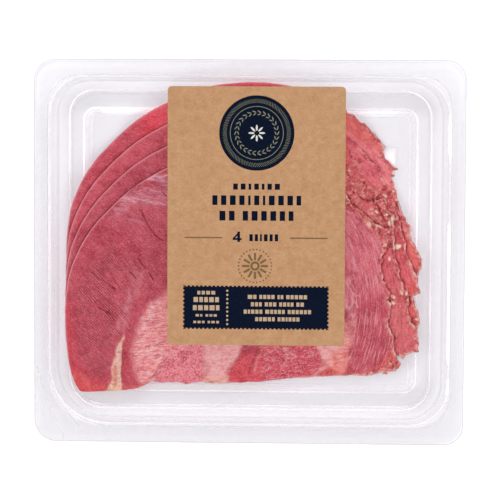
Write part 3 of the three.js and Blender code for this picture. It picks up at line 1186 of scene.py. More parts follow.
def triangulate(rim: Array, inner: Array) -> tuple[Array, list[tuple[int, ...]]]:
    """Fills a closed rim with triangles that also use the given inner points.

    Args:
        rim: The rim's points in order.
        inner: Points inside it.

    Returns:
        All points, the rim's first, and the triangles, facing up.
    """
    points = [Vector(p) for p in np.vstack([rim, inner])]
    count = len(rim)
    made, _, faces, *_ = delaunay_2d_cdt(points, [], [list(range(count))], 1, 1e-5, False)
    if len(made) != len(points):
        LOG.warning("triangulation changed %d points to %d", len(points), len(made))
    flat = np.array([tuple(p) for p in made])
    a, b, c = (flat[[f[k] for f in faces]] for k in range(3))
    turn = (b[:, 0] - a[:, 0]) * (c[:, 1] - a[:, 1]) - (b[:, 1] - a[:, 1]) * (c[:, 0] - a[:, 0])
    middle = (a + b + c) / 3
    kept = inside_path(middle[:, 0], middle[:, 1], rim.tolist()) & (np.abs(turn) > 1e-9)
    return flat, [tuple(f) if t > 0 else tuple(reversed(f)) for f, t, keep in zip(faces, turn, kept) if keep]


def closed_sheet(
    name: str, flat: Array, faces: list[tuple[int, ...]], rim_count: int, top: Array, bottom: Array
) -> Object:
    """Makes a closed sheet from one flat triangulation and the heights of its two faces.

    Args:
        name: The object's name.
        flat: Points of the triangulation, the rim's first.
        faces: Its triangles, facing up.
        rim_count: How many points form the rim.
        top: Heights of the upper face.
        bottom: Heights of the lower face.

    Returns:
        The new object.
    """
    count = len(flat)
    points = np.vstack([np.column_stack([flat, level * np.ones(count)]) for level in (top, bottom)])
    x, y = flat[:rim_count].T
    area = np.sum(x * np.roll(y, -1) - y * np.roll(x, -1))
    every = list(faces) + [tuple(count + i for i in reversed(f)) for f in faces]
    for i in range(rim_count):
        j = (i + 1) % rim_count
        a, b = (i, j) if area > 0 else (j, i)
        every.append((a, count + a, count + b, b))
    return make_object(name, points, every)


# Label and its print


class Ink(Enum):
    """The label's printing inks."""

    NAVY = PrintInk("ink_navy_offset", "#020D22", "#0A1830")
    BROWN = PrintInk("ink_brown_offset", "#765D40", "#866B4A")
    CREAM = PrintInk("ink_cream_reversed", "#BFA488", "#A88D71")
    KHAKI = PrintInk("ink_khaki_reversed", "#85846E", "#6E6E5C")
    PALE = PrintInk("ink_pale_reversed", "#D8D8D0", "#B9BAB2")


class SmallShape(Enum):
    """The small solids that are repeated in the print."""

    BLOCK = "block"
    DISC = "disc"


@dataclass
class RepeatedMarks:
    """Small flat marks set round a ring or along a row by Geometry Nodes."""

    name: str
    count: int
    size: Numbers
    centre: Numbers
    radius: float = 0.0
    step: Pair = (0.0, 0.0)
    lean: float = 0.0
    shape: SmallShape = SmallShape.BLOCK

    def tree(self) -> NodeTree:
        """Builds the node tree: points, a mark on each, one mesh, one material.

        Returns:
            The node tree.
        """
        kinds = {"Count": "Int", "Radius": "Float", "Lean": "Float", "Material": "Material"}
        kinds.update({"Step": "Vector", "Size": "Vector", "Centre": "Vector"})
        tree, given = node_group(self.name, kinds)
        node = partial(add_node, tree)
        if self.radius > 0:
            points = node("GeometryNodeMeshCircle", {"Vertices": given["Count"], "Radius": given["Radius"]})
            number = node("GeometryNodeInputIndex")
            share = node("ShaderNodeMath", {0: number, 1: given["Count"]}, operation="DIVIDE")
            leaning = {0: share, 1: math.tau, 2: given["Lean"]}
            turn = node("ShaderNodeMath", leaning, operation="MULTIPLY_ADD")
        else:
            points = node("GeometryNodeMeshLine", {"Count": given["Count"], "Offset": given["Step"]})
            turn = node("ShaderNodeMath", {0: given["Lean"], 1: 0.0}, operation="ADD")
        angles = node("ShaderNodeCombineXYZ", {"Z": turn})
        rotation = node("FunctionNodeEulerToRotation", {0: angles})
        if self.shape is SmallShape.BLOCK:
            mark = node("GeometryNodeMeshCube", {"Size": (1.0, 1.0, 1.0)})
        else:
            mark = node("GeometryNodeMeshCylinder", {"Vertices": 10, "Radius": 0.5, "Depth": 1.0})
        parts = {"Points": points, "Instance": mark, "Rotation": rotation}
        set_out = node("GeometryNodeInstanceOnPoints", {**parts, "Scale": given["Size"]})
        move = {"Geometry": set_out, "Translation": given["Centre"]}
        placed = node("GeometryNodeTransform", move)
        return end_group(tree, placed, given["Material"])

    def build(self, material: Material) -> Object:
        """Runs the tree and keeps its result as a plain mesh.

        Args:
            material: The marks' ink.

        Returns:
            The marks as one object at the origin.
        """
        piece = bpy.data.objects.new(self.name, bpy.data.meshes.new(self.name))
        bpy.context.scene.collection.objects.link(piece)
        values = {
            "Count": self.count,
            "Radius": self.radius * MM,
            "Step": (self.step[0] * MM, self.step[1] * MM, 0.0),
            "Size": tuple(v * MM for v in self.size),
            "Centre": tuple(v * MM for v in self.centre),
            "Lean": self.lean,
            "Material": material,
        }
        return grow(piece, self.tree(), values)


@dataclass
class Label:
    """The brown paper label on the film, with plain bars, dots, rings and a badge printed on it."""

    centre: Point = LABEL_CENTRE
    half: Pair = LABEL_HALF
    corner: float = 1.7
    bottom: float = 14.19
    paper_top: float = 14.32
    print_gap: float = 0.002
    ink_step: float = 0.006
    ink_depth: float = 0.004
    ring_steps: int = 72
    disc_steps: int = 96
    badge_centre: Point = (3.2, 49.7)
    badge_radius: float = 15.6
    emblem_centre: Point = (2.7, -5.6)
    panel_centre: Point = (3.1, -23.0)
    panel_half: Pair = (29.9, 8.65)
    tooth: Pair = (1.05, 0.45)
    tooth_step: float = 1.75
    divider_x: float = -8.8
    left_rows: tuple[tuple[float, float, Words], ...] = (
        (-16.9, 1.5, ((1.3, 1.3, 1.6, 1.6),)),
        (-19.8, 2.1, ((1.9, 1.5, 1.5, 1.9, 1.6),)),
        (-23.2, 2.1, ((1.6, 2.0, 1.7, 2.1, 1.5),)),
        (-26.4, 1.0, ((1.4, 0.9), (1.1, 1.2, 1.3))),
        (-29.2, 1.0, ((1.2, 1.3, 1.1), (1.0, 1.4, 1.2))),
    )
    right_rows: tuple[tuple[float, float, Words], ...] = (
        (-18.5, 1.7, ((1.9, 1.3), (1.2, 1.3, 1.2, 1.4), (0.9, 1.1), (1.4, 1.3, 1.4, 1.5, 1.4))),
        (-21.6, 1.7, ((1.3, 1.2, 1.2), (1.4, 1.2, 1.4), (1.2, 1.3, 1.0, 1.2), (1.3, 1.4))),
        (-24.7, 1.7, ((1.3, 0.9, 1.4, 1.3, 1.2), (1.7, 1.2, 1.1, 1.3, 1.2), (1.2, 1.3, 1.2, 1.4, 1.2, 1.3))),
        (-27.8, 1.7, ((1.3, 1.1, 1.6, 1.3, 1.2), (1.2, 1.3, 0.8, 1.2, 1.2, 1.3))),
    )
    dark_rows: tuple[tuple[float, float, float, float, float, Words], ...] = (
        (0.1, 27.45, 2.5, 1.25, 3.0, ((1.9, 2.0, 1.1, 1.9, 1.1, 1.8, 2.1),)),
        (0.2, 21.75, 4.0, 1.5, 4.0, ((2.1, 2.2, 2.4, 2.2, 1.0, 2.1, 1.0, 2.4, 2.3, 2.3, 1.9),)),
        (0.1, 15.3, 4.0, 1.5, 3.4, ((2.5, 2.3), (2.2, 2.5, 2.3, 2.4, 2.2, 2.0))),
        (3.2, 6.2, 2.9, 0.85, 2.0, ((1.4, 1.3, 0.8, 1.5, 1.3, 1.4),)),
    )
    paper: KraftPaper = KraftPaper()
    inks: dict[Ink, Material] = field(default_factory=dict)
    pieces: list[Object] = field(default_factory=list)

    def plates(self, name: str, ink: Ink, outlines: list[Path], lift: int = 0) -> None:
        """Prints convex outlines as thin plates of ink, on a number of ink layers."""
        low = self.print_height(lift)
        self.keep(flat_plates(name, outlines, low + self.ink_depth, low), ink)

    def print_height(self, lift: int) -> float:
        """The height that print starts at when it lies on a number of ink layers."""
        return self.paper_top + self.print_gap + lift * self.ink_step

    def keep(self, piece: Object, ink: Ink) -> None:
        """Dresses a printed piece and keeps it."""
        self.pieces.append(finish_piece(piece, self.inks[ink], "kraft_paper"))

    def marks(self, ink: Ink, lift: int, at: Point, mark: Pair, **sizes: Any) -> None:
        """Prints repeated marks.

        Args:
            ink: Which ink.
            lift: How many ink layers lie under them.
            at: Middle of the ring, or the first mark of the row.
            mark: Width and depth of one mark.
            **sizes: The other fields of the marks.
        """
        middle = self.print_height(lift) + self.ink_depth / 2
        made = RepeatedMarks(size=(*mark, self.ink_depth), centre=(*at, middle), **sizes)
        self.keep(made.build(self.inks[ink]), ink)

    def bars(self, middle: Point, height: float, words: Words, gap: float, space: float) -> list[Path]:
        """A centred row of blocks in the rhythm of printed words.

        Args:
            middle: Middle of the row.
            height: Height of the blocks.
            words: Block widths of each word.
            gap: Gap between blocks.
            space: Gap between words.

        Returns:
            The blocks' outlines.
        """
        x, y = middle
        total = sum(sum(w) + gap * (len(w) - 1) for w in words) + space * (len(words) - 1)
        cursor, row = x - total / 2, []
        for word in words:
            for width in word:
                row.append(box_outline(cursor, y - height / 2, cursor + width, y + height / 2))
                cursor += width + gap
            cursor += space - gap
        return row

    def ring(self, name: str, ink: Ink, lift: int, centre: Point, inner: float, outer: float) -> None:
        """Prints a ring of short four-sided plates.

        Args:
            name: The piece's name.
            ink: Which ink.
            lift: How many ink layers lie under it.
            centre: The ring's middle.
            inner: Its inner radius.
            outer: Its outer radius.
        """
        angles = np.linspace(0, math.tau, self.ring_steps + 1)
        outlines = []
        for a, b in zip(angles, angles[1:]):
            corners = ((inner, a), (outer, a), (outer, b), (inner, b))
            outlines.append([(centre[0] + r * math.cos(t), centre[1] + r * math.sin(t)) for r, t in corners])
        self.plates(name, ink, outlines, lift)

    def print_badge(self) -> None:
        """Prints the round navy badge: a leaning border, a thin ring and a plain flower in a wreath."""
        x, y = self.badge_centre
        turns = np.arange(self.disc_steps) * math.tau / self.disc_steps
        disc = np.column_stack([x + self.badge_radius * np.cos(turns), y + self.badge_radius * np.sin(turns)])
        self.plates("badge_disc", Ink.NAVY, [disc])
        border = {"count": 112, "radius": 13.3, "lean": 0.55}
        self.marks(Ink.KHAKI, 1, (x, y), (2.0, 0.16), name="badge_border", **border)
        self.ring("badge_ring", Ink.KHAKI, 1, (x, y), 10.9, 11.15)
        for name, ink, mark, count, radius, lean in (
            ("badge_wreath_outer", Ink.KHAKI, (1.9, 0.5), 26, 8.9, 1.1),
            ("badge_wreath_inner", Ink.KHAKI, (1.6, 0.45), 26, 7.8, 2.05),
            ("badge_flower", Ink.PALE, (2.6, 0.85), 8, 2.2, 0.0),
        ):
            leaves = {"count": count, "radius": radius, "lean": lean, "shape": SmallShape.DISC}
            self.marks(ink, 1, (x, y), mark, name=name, **leaves)

    def print_emblem(self) -> None:
        """Prints the small brown emblem: a ring of dots round a plain eight-rayed sun."""
        dot = {"count": 30, "shape": SmallShape.DISC}
        self.marks(Ink.BROWN, 0, self.emblem_centre, (0.75, 0.75), name="emblem_dots", radius=6.9, **dot)
        self.marks(Ink.BROWN, 0, self.emblem_centre, (3.0, 0.95), name="emblem_rays", count=12, radius=3.9)
        self.ring("emblem_hub", Ink.BROWN, 0, self.emblem_centre, 1.0, 2.0)

    def print_panel(self) -> None:
        """Prints the navy panel with its toothed edge, dotted divider and rows of bars."""
        x, y = self.panel_centre
        half_x, half_y = self.panel_half
        tooth, step = self.tooth, self.tooth_step
        self.plates("panel_field", Ink.NAVY, [box_outline(x - half_x, y - half_y, x + half_x, y + half_y)])
        columns, rows = int(2 * half_x / step) + 1, int(2 * half_y / step) + 1
        first_x, first_y = x - (columns - 1) / 2 * step, y - (rows - 1) / 2 * step
        out_x, out_y = half_x + tooth[1] / 2, half_y + tooth[1] / 2
        along_x = {"mark": tooth, "count": columns, "step": (step, 0.0)}
        along_y = {"mark": tooth[::-1], "count": rows, "step": (0.0, step)}
        for side, at, row in (
            ("top", (first_x, y + out_y), along_x),
            ("bottom", (first_x, y - out_y), along_x),
            ("right", (x + out_x, first_y), along_y),
            ("left", (x - out_x, first_y), along_y),
        ):
            self.marks(Ink.NAVY, 0, at, name=f"panel_teeth_{side}", **row)
        dot = {"name": "panel_divider", "count": 9, "step": (0.0, step), "shape": SmallShape.DISC}
        self.marks(Ink.CREAM, 1, (self.divider_x, y - 4 * step), (0.95, 0.95), **dot)
        left, right = (x - half_x + self.divider_x) / 2 + 0.2, (self.divider_x + x + half_x) / 2
        outlines = []
        fields = ((left, 0.55, 1.3, self.left_rows), (right, 0.42, 1.2, self.right_rows))
        for middle, gap, space, lines in fields:
            for row_y, height, words in lines:
                outlines += self.bars((middle, row_y), height, words, gap, space)
        self.plates("panel_bars", Ink.CREAM, outlines, 1)

    def print_rows(self) -> None:
        """Prints the rows of dark blocks, the plain number and the two thin rules."""
        rows = []
        for shift, y, height, gap, space, words in self.dark_rows:
            rows += self.bars((self.centre[0] + shift, y), height, words, gap, space)
        self.plates("printed_rows", Ink.NAVY, rows)
        number = (
            ("printed_number", [(-4.1, 8.7), (-6.6, 5.9), (-5.7, 5.9), (-3.9, 7.95)]),
            ("printed_number_stem", box_outline(-4.7, 4.4, -3.6, 8.7)),
            ("printed_number_bar", box_outline(-6.6, 5.2, -2.9, 6.0)),
        )
        for lift, (name, outline) in enumerate(number):
            self.plates(name, Ink.NAVY, [outline], lift)
        rules = [box_outline(x0, 5.85, x1, 6.4) for x0, x1 in ((-26.7, -10.9), (17.2, 32.9))]
        self.plates("printed_rules", Ink.BROWN, rules)

    def build(self) -> None:
        """Builds the paper and everything printed on it."""
        self.inks = {ink: ink.value.material() for ink in Ink}
        rim = rounded_rectangle(self.half, (self.corner,) * 4, self.centre, 8)
        paper = flat_plates("label_paper", [rim], self.paper_top, self.bottom)
        self.pieces.append(finish_piece(paper, self.paper.material(), "kraft_paper", "label"))
        self.print_badge()
        self.print_rows()
        self.print_emblem()
        self.print_panel()
        for piece in self.pieces:
            # Thin paper passes the soft light on to the meat close under it, so it casts no shadow there.
            piece.visible_shadow = False


def box_outline(x0: float, y0: float, x1: float, y1: float) -> list[Point]:
    """The corners of an upright rectangle, counter-clockwise."""
    return [(x0, y0), (x1, y0), (x1, y1), (x0, y1)]


# Slices


class SoftArea:
    """An area with a soft edge."""

    outline: tuple[Point, ...]
    soft: float

    def share(self, x: Array, y: Array, margin: float = 0.0) -> Array:
        """How far points lie in the area, from 0 to 1, widened by a margin."""
        return smooth(depth_inside(x, y, self.outline), -self.soft - margin, self.soft)


@dataclass(frozen=True)
class Zone(SoftArea):
    """A soft-edged part of the slices that looks or lies in a way of its own."""

    outline: tuple[Point, ...]
    soft: float = 1.5


@dataclass(frozen=True)
class Patch(SoftArea):
    """A soft-edged area of another flesh colour on one slice, the top one unless it says otherwise."""

    colour: str
    outline: tuple[Point, ...]
    soft: float = 1.5
    strength: float = 1.0
    number: int = 3


@dataclass(frozen=True)
class Stroke:
    """A soft line of another flesh colour along a path."""

    colour: str
    path: tuple[Point, ...]
    width: float
    strength: float = 0.8


@dataclass(frozen=True)
class Slit:
    """A thin split in a slice, the top one unless it says otherwise."""

    path: tuple[Point, ...]
    width: float = 0.3
    depth: float = 0.5
    # How much painted shade fills the split
    dark: float = 0.95
    number: int = 3

    def share(self, x: Array, y: Array) -> Array:
        """How much points lie in the split, from 0 to 1, fading out at its ends.

        Args:
            x, y: Positions in mm.

        Returns:
            Shares from 0 to 1.
        """
        ends = np.minimum(*(np.hypot(x - px, y - py) for px, py in (self.path[0], self.path[-1])))
        away = path_distance(x, y, self.path) / self.width
        return np.clip(1.6 * np.exp(-(away**2)), 0, 1) * smooth(ends, -0.3, 0.7)


# Painted sheen: a lighter, silvery pink where the moist upper left catches the light
PAINTED_SHEEN = Patch("#CB6C80", ((-57, 14), (-53, 23), (-44, 26), (-34, 28), (-33, 21), (-41, 19),
    (-50, 19)), 2.5, 0.8)
MARBLED = Patch("#FFAAA8", ((-40.8, -21.7), (-36.6, -19.6), (-30.7, -16.2), (-20.7, -16.2), (-19, -39.3),
    (-26.5, -41.4), (-32.4, -43.9), (-34.9, -48.1), (-39.1, -55.2), (-45.8, -57.3), (-47.5, -52.2),
    (-49.6, -42.2), (-47.1, -33.8), (-43.7, -26.3)), 2.2, 0.95)
REDDEST = Patch("#E3505C", ((-8.7, -50.4), (-6.6, -47.6), (-4.6, -44.6), (-2.6, -39.6), (-1.4, -36.4),
    (8.7, -36.4), (7, -45.5), (5.3, -57.3), (-8.9, -57.3)), 1.3, 0.95)
GRAINY = Patch("#F8959D", ((-34.9, -41.4), (-19, -38.4), (-19, -57.3), (-38.4, -58.3)), 2, 0.95)
PEACH = Patch("#FFC1BC", ((-19, -38.4), (-1.8, -37.2), (-4.6, -44.6), (-6.6, -47.6), (-8.7, -50.4),
    (-8.9, -57.3), (-19.4, -57.3)), 1.4, 0.95)
WEBBED = Patch("#DF495E", ((5.3, -36.2), (28.8, -36.2), (30.5, -46.4), (28.8, -50.6), (21.2, -55.8),
    (5.3, -57.3)), 1.8, 0.9)
WEDGE = Patch("#F8D3BC", ((-52.9, -35.5), (-54.6, -38.4), (-55.6, -40.9), (-57.2, -46), (-58, -49.7),
    (-58.3, -54.6), (-59.2, -57.6), (-61.2, -60.4), (-54.2, -60.4), (-54.2, -48.9), (-54, -44.1),
    (-52.7, -37.6)), 0.5, 0.95)
PALE = Patch("#FFABA3", ((28.4, -36.2), (43, -33), (41.8, -42.2), (41.3, -50.6), (39.3, -52.2),
    (35.1, -49.7), (29.6, -51), (24.6, -54.8), (28.8, -50.2), (30.9, -46.4), (29.2, -42.2)), 0.9, 0.95)
LINED = Zone(((-70, -8), (-58, 2), (-49, -6), (-48, -20), (-53, -34), (-56, -50), (-67, -54),
    (-74, -30)), 6)
JOINED = Zone(((28, 66), (46, 54), (60, 38), (66, 24), (60, 20), (57, 25), (50, 25), (44, 26),
    (28, 26)), 1.5)
LOWEST = Zone(((46, -51.6), (52, -50.6), (57, -48), (61, -44), (68, -44), (66, -56),
    (46, -56)), 0.9)
HAIRY = Zone(((36, 30), (56, 8), (58, -20), (64, -44), (60, -52), (40, -52), (40, -30),
    (36, -20)), 3)
FLAKY = Patch("#D2606A", ((37.2, 46.6), (43, 42.4), (51.4, 27.8), (56.9, 25.7), (59.8, 15.2), (61.5, 6.8),
    (56.9, 0.5), (52.7, 8.1), (42.2, 15.2), (37.2, 15.2)), 2.5, 0.6)

PATCHES = (
    # Lighter upper left of the top slice, partly painted sheen
    Patch("#C9596A", ((-60, 12), (-47, 26), (-34, 29), (-30, 22), (-36, 12), (-48, 6)), 4, 0.9),
    Patch("#C25061", ((-50, 8), (-34, 8), (-30, -16), (-40, -20), (-52, -8)), 4, 0.9),
    Patch("#D84557", ((-80, -22), (-74.5, -22), (-72.5, -45), (-67, -53), (-61, -56), (-61, -62),
        (-80, -62)), 1.8, 0.85),
    Patch("#E85557", ((-78, -50), (-72, -52), (-66, -56.5), (-61, -57.5), (-61, -62),
        (-78, -62)), 1.4, 0.8),
    Patch("#E67C88", ((38, 30), (66, 20), (66, -20), (38, -20)), 4, 0.9),
    Patch("#CE5263", ((38, -18), (66, -18), (68, -54), (38, -54)), 4, 0.9),
    Patch("#DA7E8A", ((-47.5, -7), (-43.3, -8.7), (-45.4, -16.2), (-48.7, -22.5), (-50.8, -29.6),
        (-53.3, -34.7), (-55.8, -33), (-54.6, -25.4), (-51.7, -18.7), (-50, -12)), 1.1, 0.62),
    PAINTED_SHEEN,
    MARBLED,
    GRAINY,
    PEACH,
    Patch("#F3BE9C", ((-19.5, -53.2), (-8.8, -53), (-8.5, -57.5), (-20.5, -57.5)), 1.2, 0.7),
    REDDEST,
    Patch("#BC4664", ((-1.6, -36.4), (-3.6, -42.4), (-1.6, -44), (3, -42.4), (8.7, -36.4)), 1.3, 0.75),
    WEBBED,
    PALE,
    Patch("#FCC4C0", ((28.6, -36.4), (39, -36), (37.6, -40.6), (33.6, -42.6), (31.6, -47),
        (30, -43)), 1, 0.75),
    Patch("#F2806A", ((34.6, -44), (41.4, -40.6), (41.4, -50.4), (36, -49.6)), 1.4, 0.6),
    Patch("#F4A094", ((39.7, -29.6), (44.4, -28.6), (45.4, -34), (43.2, -40.2),
        (39.7, -42.2)), 1, 0.75),
    Patch("#EC6A5C", ((48, -53), (54, -48), (58, -43), (62.6, -41), (66, -46),
        (64, -52)), 2, 0.7),
    Patch("#EE6C60", ((30.5, -51), (35.1, -49.3), (40.5, -51), (51.4, -51.4), (51.4, -54.9),
        (30.5, -55.3)), 0.8, 0.85),
    WEDGE,
    Patch("#FFDCB2", ((-58.6, -56), (-54.4, -56), (-54.2, -60.4), (-61.4, -60.4)), 0.7, 0.9),
    Patch("#CE5263", ((-80, 40), (-46, 62), (-46, 40), (-66, 0), (-80, 0)), 5, 0.9, 0),
    Patch("#FF9698", ((34, 66), (60, 54), (76, 30), (76, -30), (58, -30), (34, 34)), 3, 0.95, 0),
    Patch("#F07484", ((43, 43), (52, 41), (56, 31), (48, 30)), 3, 0.7, 0),
    Patch("#F06E62", ((36, 63), (50, 57), (58, 46), (53, 43), (46, 46), (36, 54)), 1.8, 0.8, 0),
    Patch("#F86A61", ((64, 10), (74, 4), (74, -14), (66, -10)), 2, 0.8, 0),
    Patch("#EE6A72", ((34, 50), (58, 38), (64, 20), (76, -10), (76, -36), (60, -36), (48, 10),
        (34, 20)), 3, 0.95, 1),
    Patch("#F26A60", ((66.5, -12), (74, -14), (74, -32), (67, -30)), 1.5, 0.8, 1),
    Patch("#E96E75", ((34, 34), (60, 30), (64, 10), (76, -30), (76, -50), (55, -50), (48, 8),
        (34, 12)), 3, 0.95, 2),
    Patch("#FA9A8C", ((42.8, 29.6), (45.9, 27.4), (49.7, 28), (55.4, 26.8), (55, 23.8), (52.4, 22.6),
        (48.2, 22), (45.4, 23.6)), 0.6, 0.85, 2),
    # Painted shadow under the lower edge of the flap
    Patch("#C63850", ((45, 22.4), (50, 20.6), (53.6, 20.8), (55.6, 22.6), (53, 22),
        (49, 21.4)), 0.5, 0.7, 2),
    # Painted shade in a hollow of the torn side
    Patch("#B43C50", ((57.3, 8.2), (60.2, 8), (60, 1.4), (57.6, 0.8)), 0.6, 0.85, 2),
    Patch("#F27882", ((43, 42), (50, 38), (56, 30), (50, 28), (44, 34)), 2.5, 0.8, 1),
    Patch("#E37474", ((58.5, -16), (64, -15), (66, -24), (64.5, -38), (60, -38), (59, -26)), 1.6, 0.8, 2),
)

STROKES = (
    Stroke("#EBA0A4", ((-50.2, -19.6), (-50.8, -21)), 0.7, 0.6),
    Stroke("#EBA0A4", ((-51.6, -23.8), (-51.9, -25.6)), 0.6, 0.6),
    Stroke("#E79CA2", ((-55, -29.4), (-55.2, -32.6)), 0.6, 0.6),
    Stroke("#EBA8A8", ((40.3, -30.4), (42.2, -33), (41.6, -36.4)), 0.9, 0.6),
    Stroke("#FBC0B4", ((31, -38), (34, -40.6), (38, -39.8)), 0.7, 0.6),
    Stroke("#FBC0B4", ((33, -46), (36.4, -43.6), (39.4, -46.4)), 0.7, 0.5),
    Stroke("#F08078", ((35, -42), (37.4, -48.6)), 0.9, 0.5),
    Stroke("#B03050", ((-0.6, -37), (-3, -42.6), (-5.6, -47)), 0.7, 0.5),
    Stroke("#A82A44", ((8.2, -36.6), (5.4, -39.6), (1.9, -45.8), (0, -51.4)), 0.7, 0.75),
    Stroke("#DC7A68", ((-56.6, -49.8), (-56.6, -57.2)), 0.9, 0.8),
    Stroke("#C04A5A", ((-35.7, -46.8), (-38.4, -50.6), (-41.1, -54.2)), 0.45, 0.6),
    Stroke("#FCD4D4", ((-41.4, -22.4), (-40.4, -23.4)), 0.8, 0.7),
    Stroke("#FCD4D4", ((-38.4, -21.6), (-37, -23.2)), 0.8, 0.7),
    Stroke("#FCD8D6", ((-42.2, -25.4), (-40.6, -27), (-42, -29)), 0.9, 0.75),
    Stroke("#FCD4D4", ((-44.8, -28.6), (-43.2, -30.6)), 0.9, 0.7),
    Stroke("#C73548", ((-52, -38), (-52.5, -44), (-52.6, -55)), 0.9, 0.7),
    Stroke("#8E1C30", ((-52.9, -38.4), (-53.6, -44), (-53.7, -56)), 0.28, 0.75),
    Stroke("#E0625A", ((-70.5, -52.5), (-67, -57.6), (-61.5, -58.8)), 1, 0.75),
    Stroke("#E7685C", ((-46, -57.6), (-53, -59)), 1, 0.7),
    Stroke("#F0BE9A", ((22.5, -53.4), (31, -53)), 0.5, 0.8),
    Stroke("#D8604E", ((31, -52.4), (44, -51.6)), 0.6, 0.7),
    Stroke("#EE9C94", ((4.8, -43.2), (3.3, -46.2), (2.3, -51)), 0.5, 0.7),
    Stroke("#F0AEAA", ((5.3, -42.2), (7.8, -45.5)), 0.5, 0.45),
    Stroke("#F3B6B2", ((14.5, -40.5), (16.2, -43.9), (15.4, -46.4)), 0.45, 0.7),
    Stroke("#F3B6B2", ((15, -41.4), (20, -44.7)), 0.45, 0.7),
    # Painted sheen: light strands where the moist upper left catches the light
    Stroke("#EDB0BC", ((-55.2, 22.1), (-51.3, 21.9), (-47.9, 20.2)), 0.45, 0.9),
    Stroke("#EBB0BC", ((-55, 23.6), (-47.9, 21.9), (-35.3, 19.4)), 0.48, 0.75),
    Stroke("#E2A2B0", ((-57.1, 17.7), (-51.3, 17.1)), 0.5, 0.6),
    Stroke("#DC9AAA", ((-52.1, 13.5), (-48, 12.8), (-44.5, 11.4)), 0.5, 0.5),
    Stroke("#DDA0B2", ((-39.5, 31.5), (-35, 29)), 1.4, 0.6),
    Stroke("#F4CAD2", ((-43.3, 29.5), (-39.9, 31.4), (-37.5, 30.7), (-34.5, 31.8)), 0.4, 0.85),
    Stroke("#F0C0CA", ((-41.4, 29.9), (-37.5, 29.5), (-34.6, 29.1)), 0.4, 0.7),
    Stroke("#EBA7B2", ((40.5, 3.5), (41.8, -0.3), (43.9, -4.5), (45.1, -7.8)), 0.8, 0.6),
    Stroke("#E996A2", ((40.4, -14), (42.6, -20.4), (42.6, -27)), 2.2, 0.45),
    Stroke("#F6B8BE", ((40.2, -11.6), (41.6, -14.6), (42.7, -16.2), (43.6, -17.4), (43.2, -19.2),
        (43.9, -20.6), (45, -21.7), (45.5, -23.1)), 0.4, 0.9),
    Stroke("#F4B0B6", ((41.3, -11.1), (42.7, -12.5), (43.6, -14.6), (44.8, -16)), 0.4, 0.7),
    Stroke("#F6B8BE", ((43.6, -17.4), (44.8, -18.3), (46.2, -18.3)), 0.35, 0.7),
    Stroke("#F8C0C6", ((40.4, -20), (41.3, -24.3)), 0.6, 0.85),
    Stroke("#F6B8BE", ((43.9, -20.6), (42.7, -22.9), (42, -24)), 0.4, 0.8),
    Stroke("#F6B8BE", ((42.9, -25.9), (43.6, -27.5), (44.8, -25.7)), 0.35, 0.75),
    Stroke("#F4B0B6", ((41.6, -28.4), (43.2, -30), (44.6, -32.2)), 0.4, 0.7),
    Stroke("#EFA2AC", ((49.5, -23.8), (49.6, -27), (49.4, -30.4)), 0.35, 0.7),
    Stroke("#A83A50", ((42, -21.4), (42.2, -22)), 0.45, 0.6),
    Stroke("#A83A50", ((44.2, -22.2), (44, -23.4)), 0.5, 0.6),
    Stroke("#A83A50", ((43.4, -24.6), (43.6, -25.2)), 0.4, 0.6),
)

SLITS = (
    Slit(((-45.4, 17), (-44.9, 16), (-44.5, 14.8)), 0.42, 0.4, 0.6),
    Slit(((-44.7, 15.2), (-43.2, 11.9), (-41.5, 9.1), (-39.5, 6.6), (-37.6, 4.9),
        (-35.5, 4.1)), 0.24, 0.5, 0.8),
    Slit(((-58.6, 9.3), (-56.4, 8), (-53.8, 6.4)), 0.2, 0.2, 0.45),
    Slit(((-46.9, -3), (-45.7, -4.9), (-43.3, -7.8)), 0.27, 0.5),
    Slit(((-42.3, -9.1), (-41, -11), (-40.2, -12.5)), 0.24, 0.4),
    Slit(((-50.6, -8.7), (-49, -10.1), (-47.3, -12)), 0.27, 0.45),
    Slit(((-66.7, -8.7), (-65.2, -9.6), (-63.4, -11.4), (-60.5, -13.1), (-58.5, -14.6),
        (-56.6, -16.4)), 0.22, 0.3, 0.6),
    Slit(((-57.8, -15.2), (-56.8, -15.9), (-56.2, -16.9)), 0.3, 0.4),
    Slit(((-63.6, -23.8), (-62.2, -24.4), (-60.9, -25.3)), 0.28, 0.4),
    Slit(((-60.2, -25.7), (-59.2, -26.2), (-58.2, -27.2)), 0.32, 0.5),
    Slit(((-36.8, 24.8), (-34.4, 22.7)), 0.22, 0.3, 0.8),
    Slit(((-62.4, 3.5), (-60.5, 1.8)), 0.2, 0.2, 0.4),
    Slit(((-51, 24.3), (-49.6, 25.4)), 0.34, 0.6),
    Slit(((45.6, 23.4), (48, 21.6), (50.4, 21.6), (53.2, 22.6), (55.2, 23.6)), 0.34, 0.6, 0.9, 2),
    Slit(((51.4, 21.9), (53.9, 19), (55.2, 15.6), (57.3, 12.3)), 0.34, 0.6, 0.85, 2),
    Slit(((56.5, 21), (58.6, 15.5), (59.6, 9.5)), 0.26, 0.4, 0.7, 2),
)

# Pits: each sinks the top and is filled with painted shade
PITS = (
    (-38.5, -10.1, 0.5), (-59.5, -26.1, 0.5), (-46.4, 27.4, 0.6), (-50.3, 24.6, 0.45), (-45.6, 16.7, 0.5),
    (-44.8, 14.8, 0.45), (43.4, 19.4, 0.6), (43.7, 17.3, 0.6), (46.8, 16.5, 0.8), (58.1, 6.8, 1.0),
    (58.9, 3.5, 0.9), (56.9, 1.8, 0.8), (68.1, -27.8, 0.7), (69.3, -29.9, 0.7), (52.0, 12.7, 0.8),
    (55.0, -4.5, 0.7), (55.2, -8.7, 0.7), (55.8, -11.6, 0.7),
)

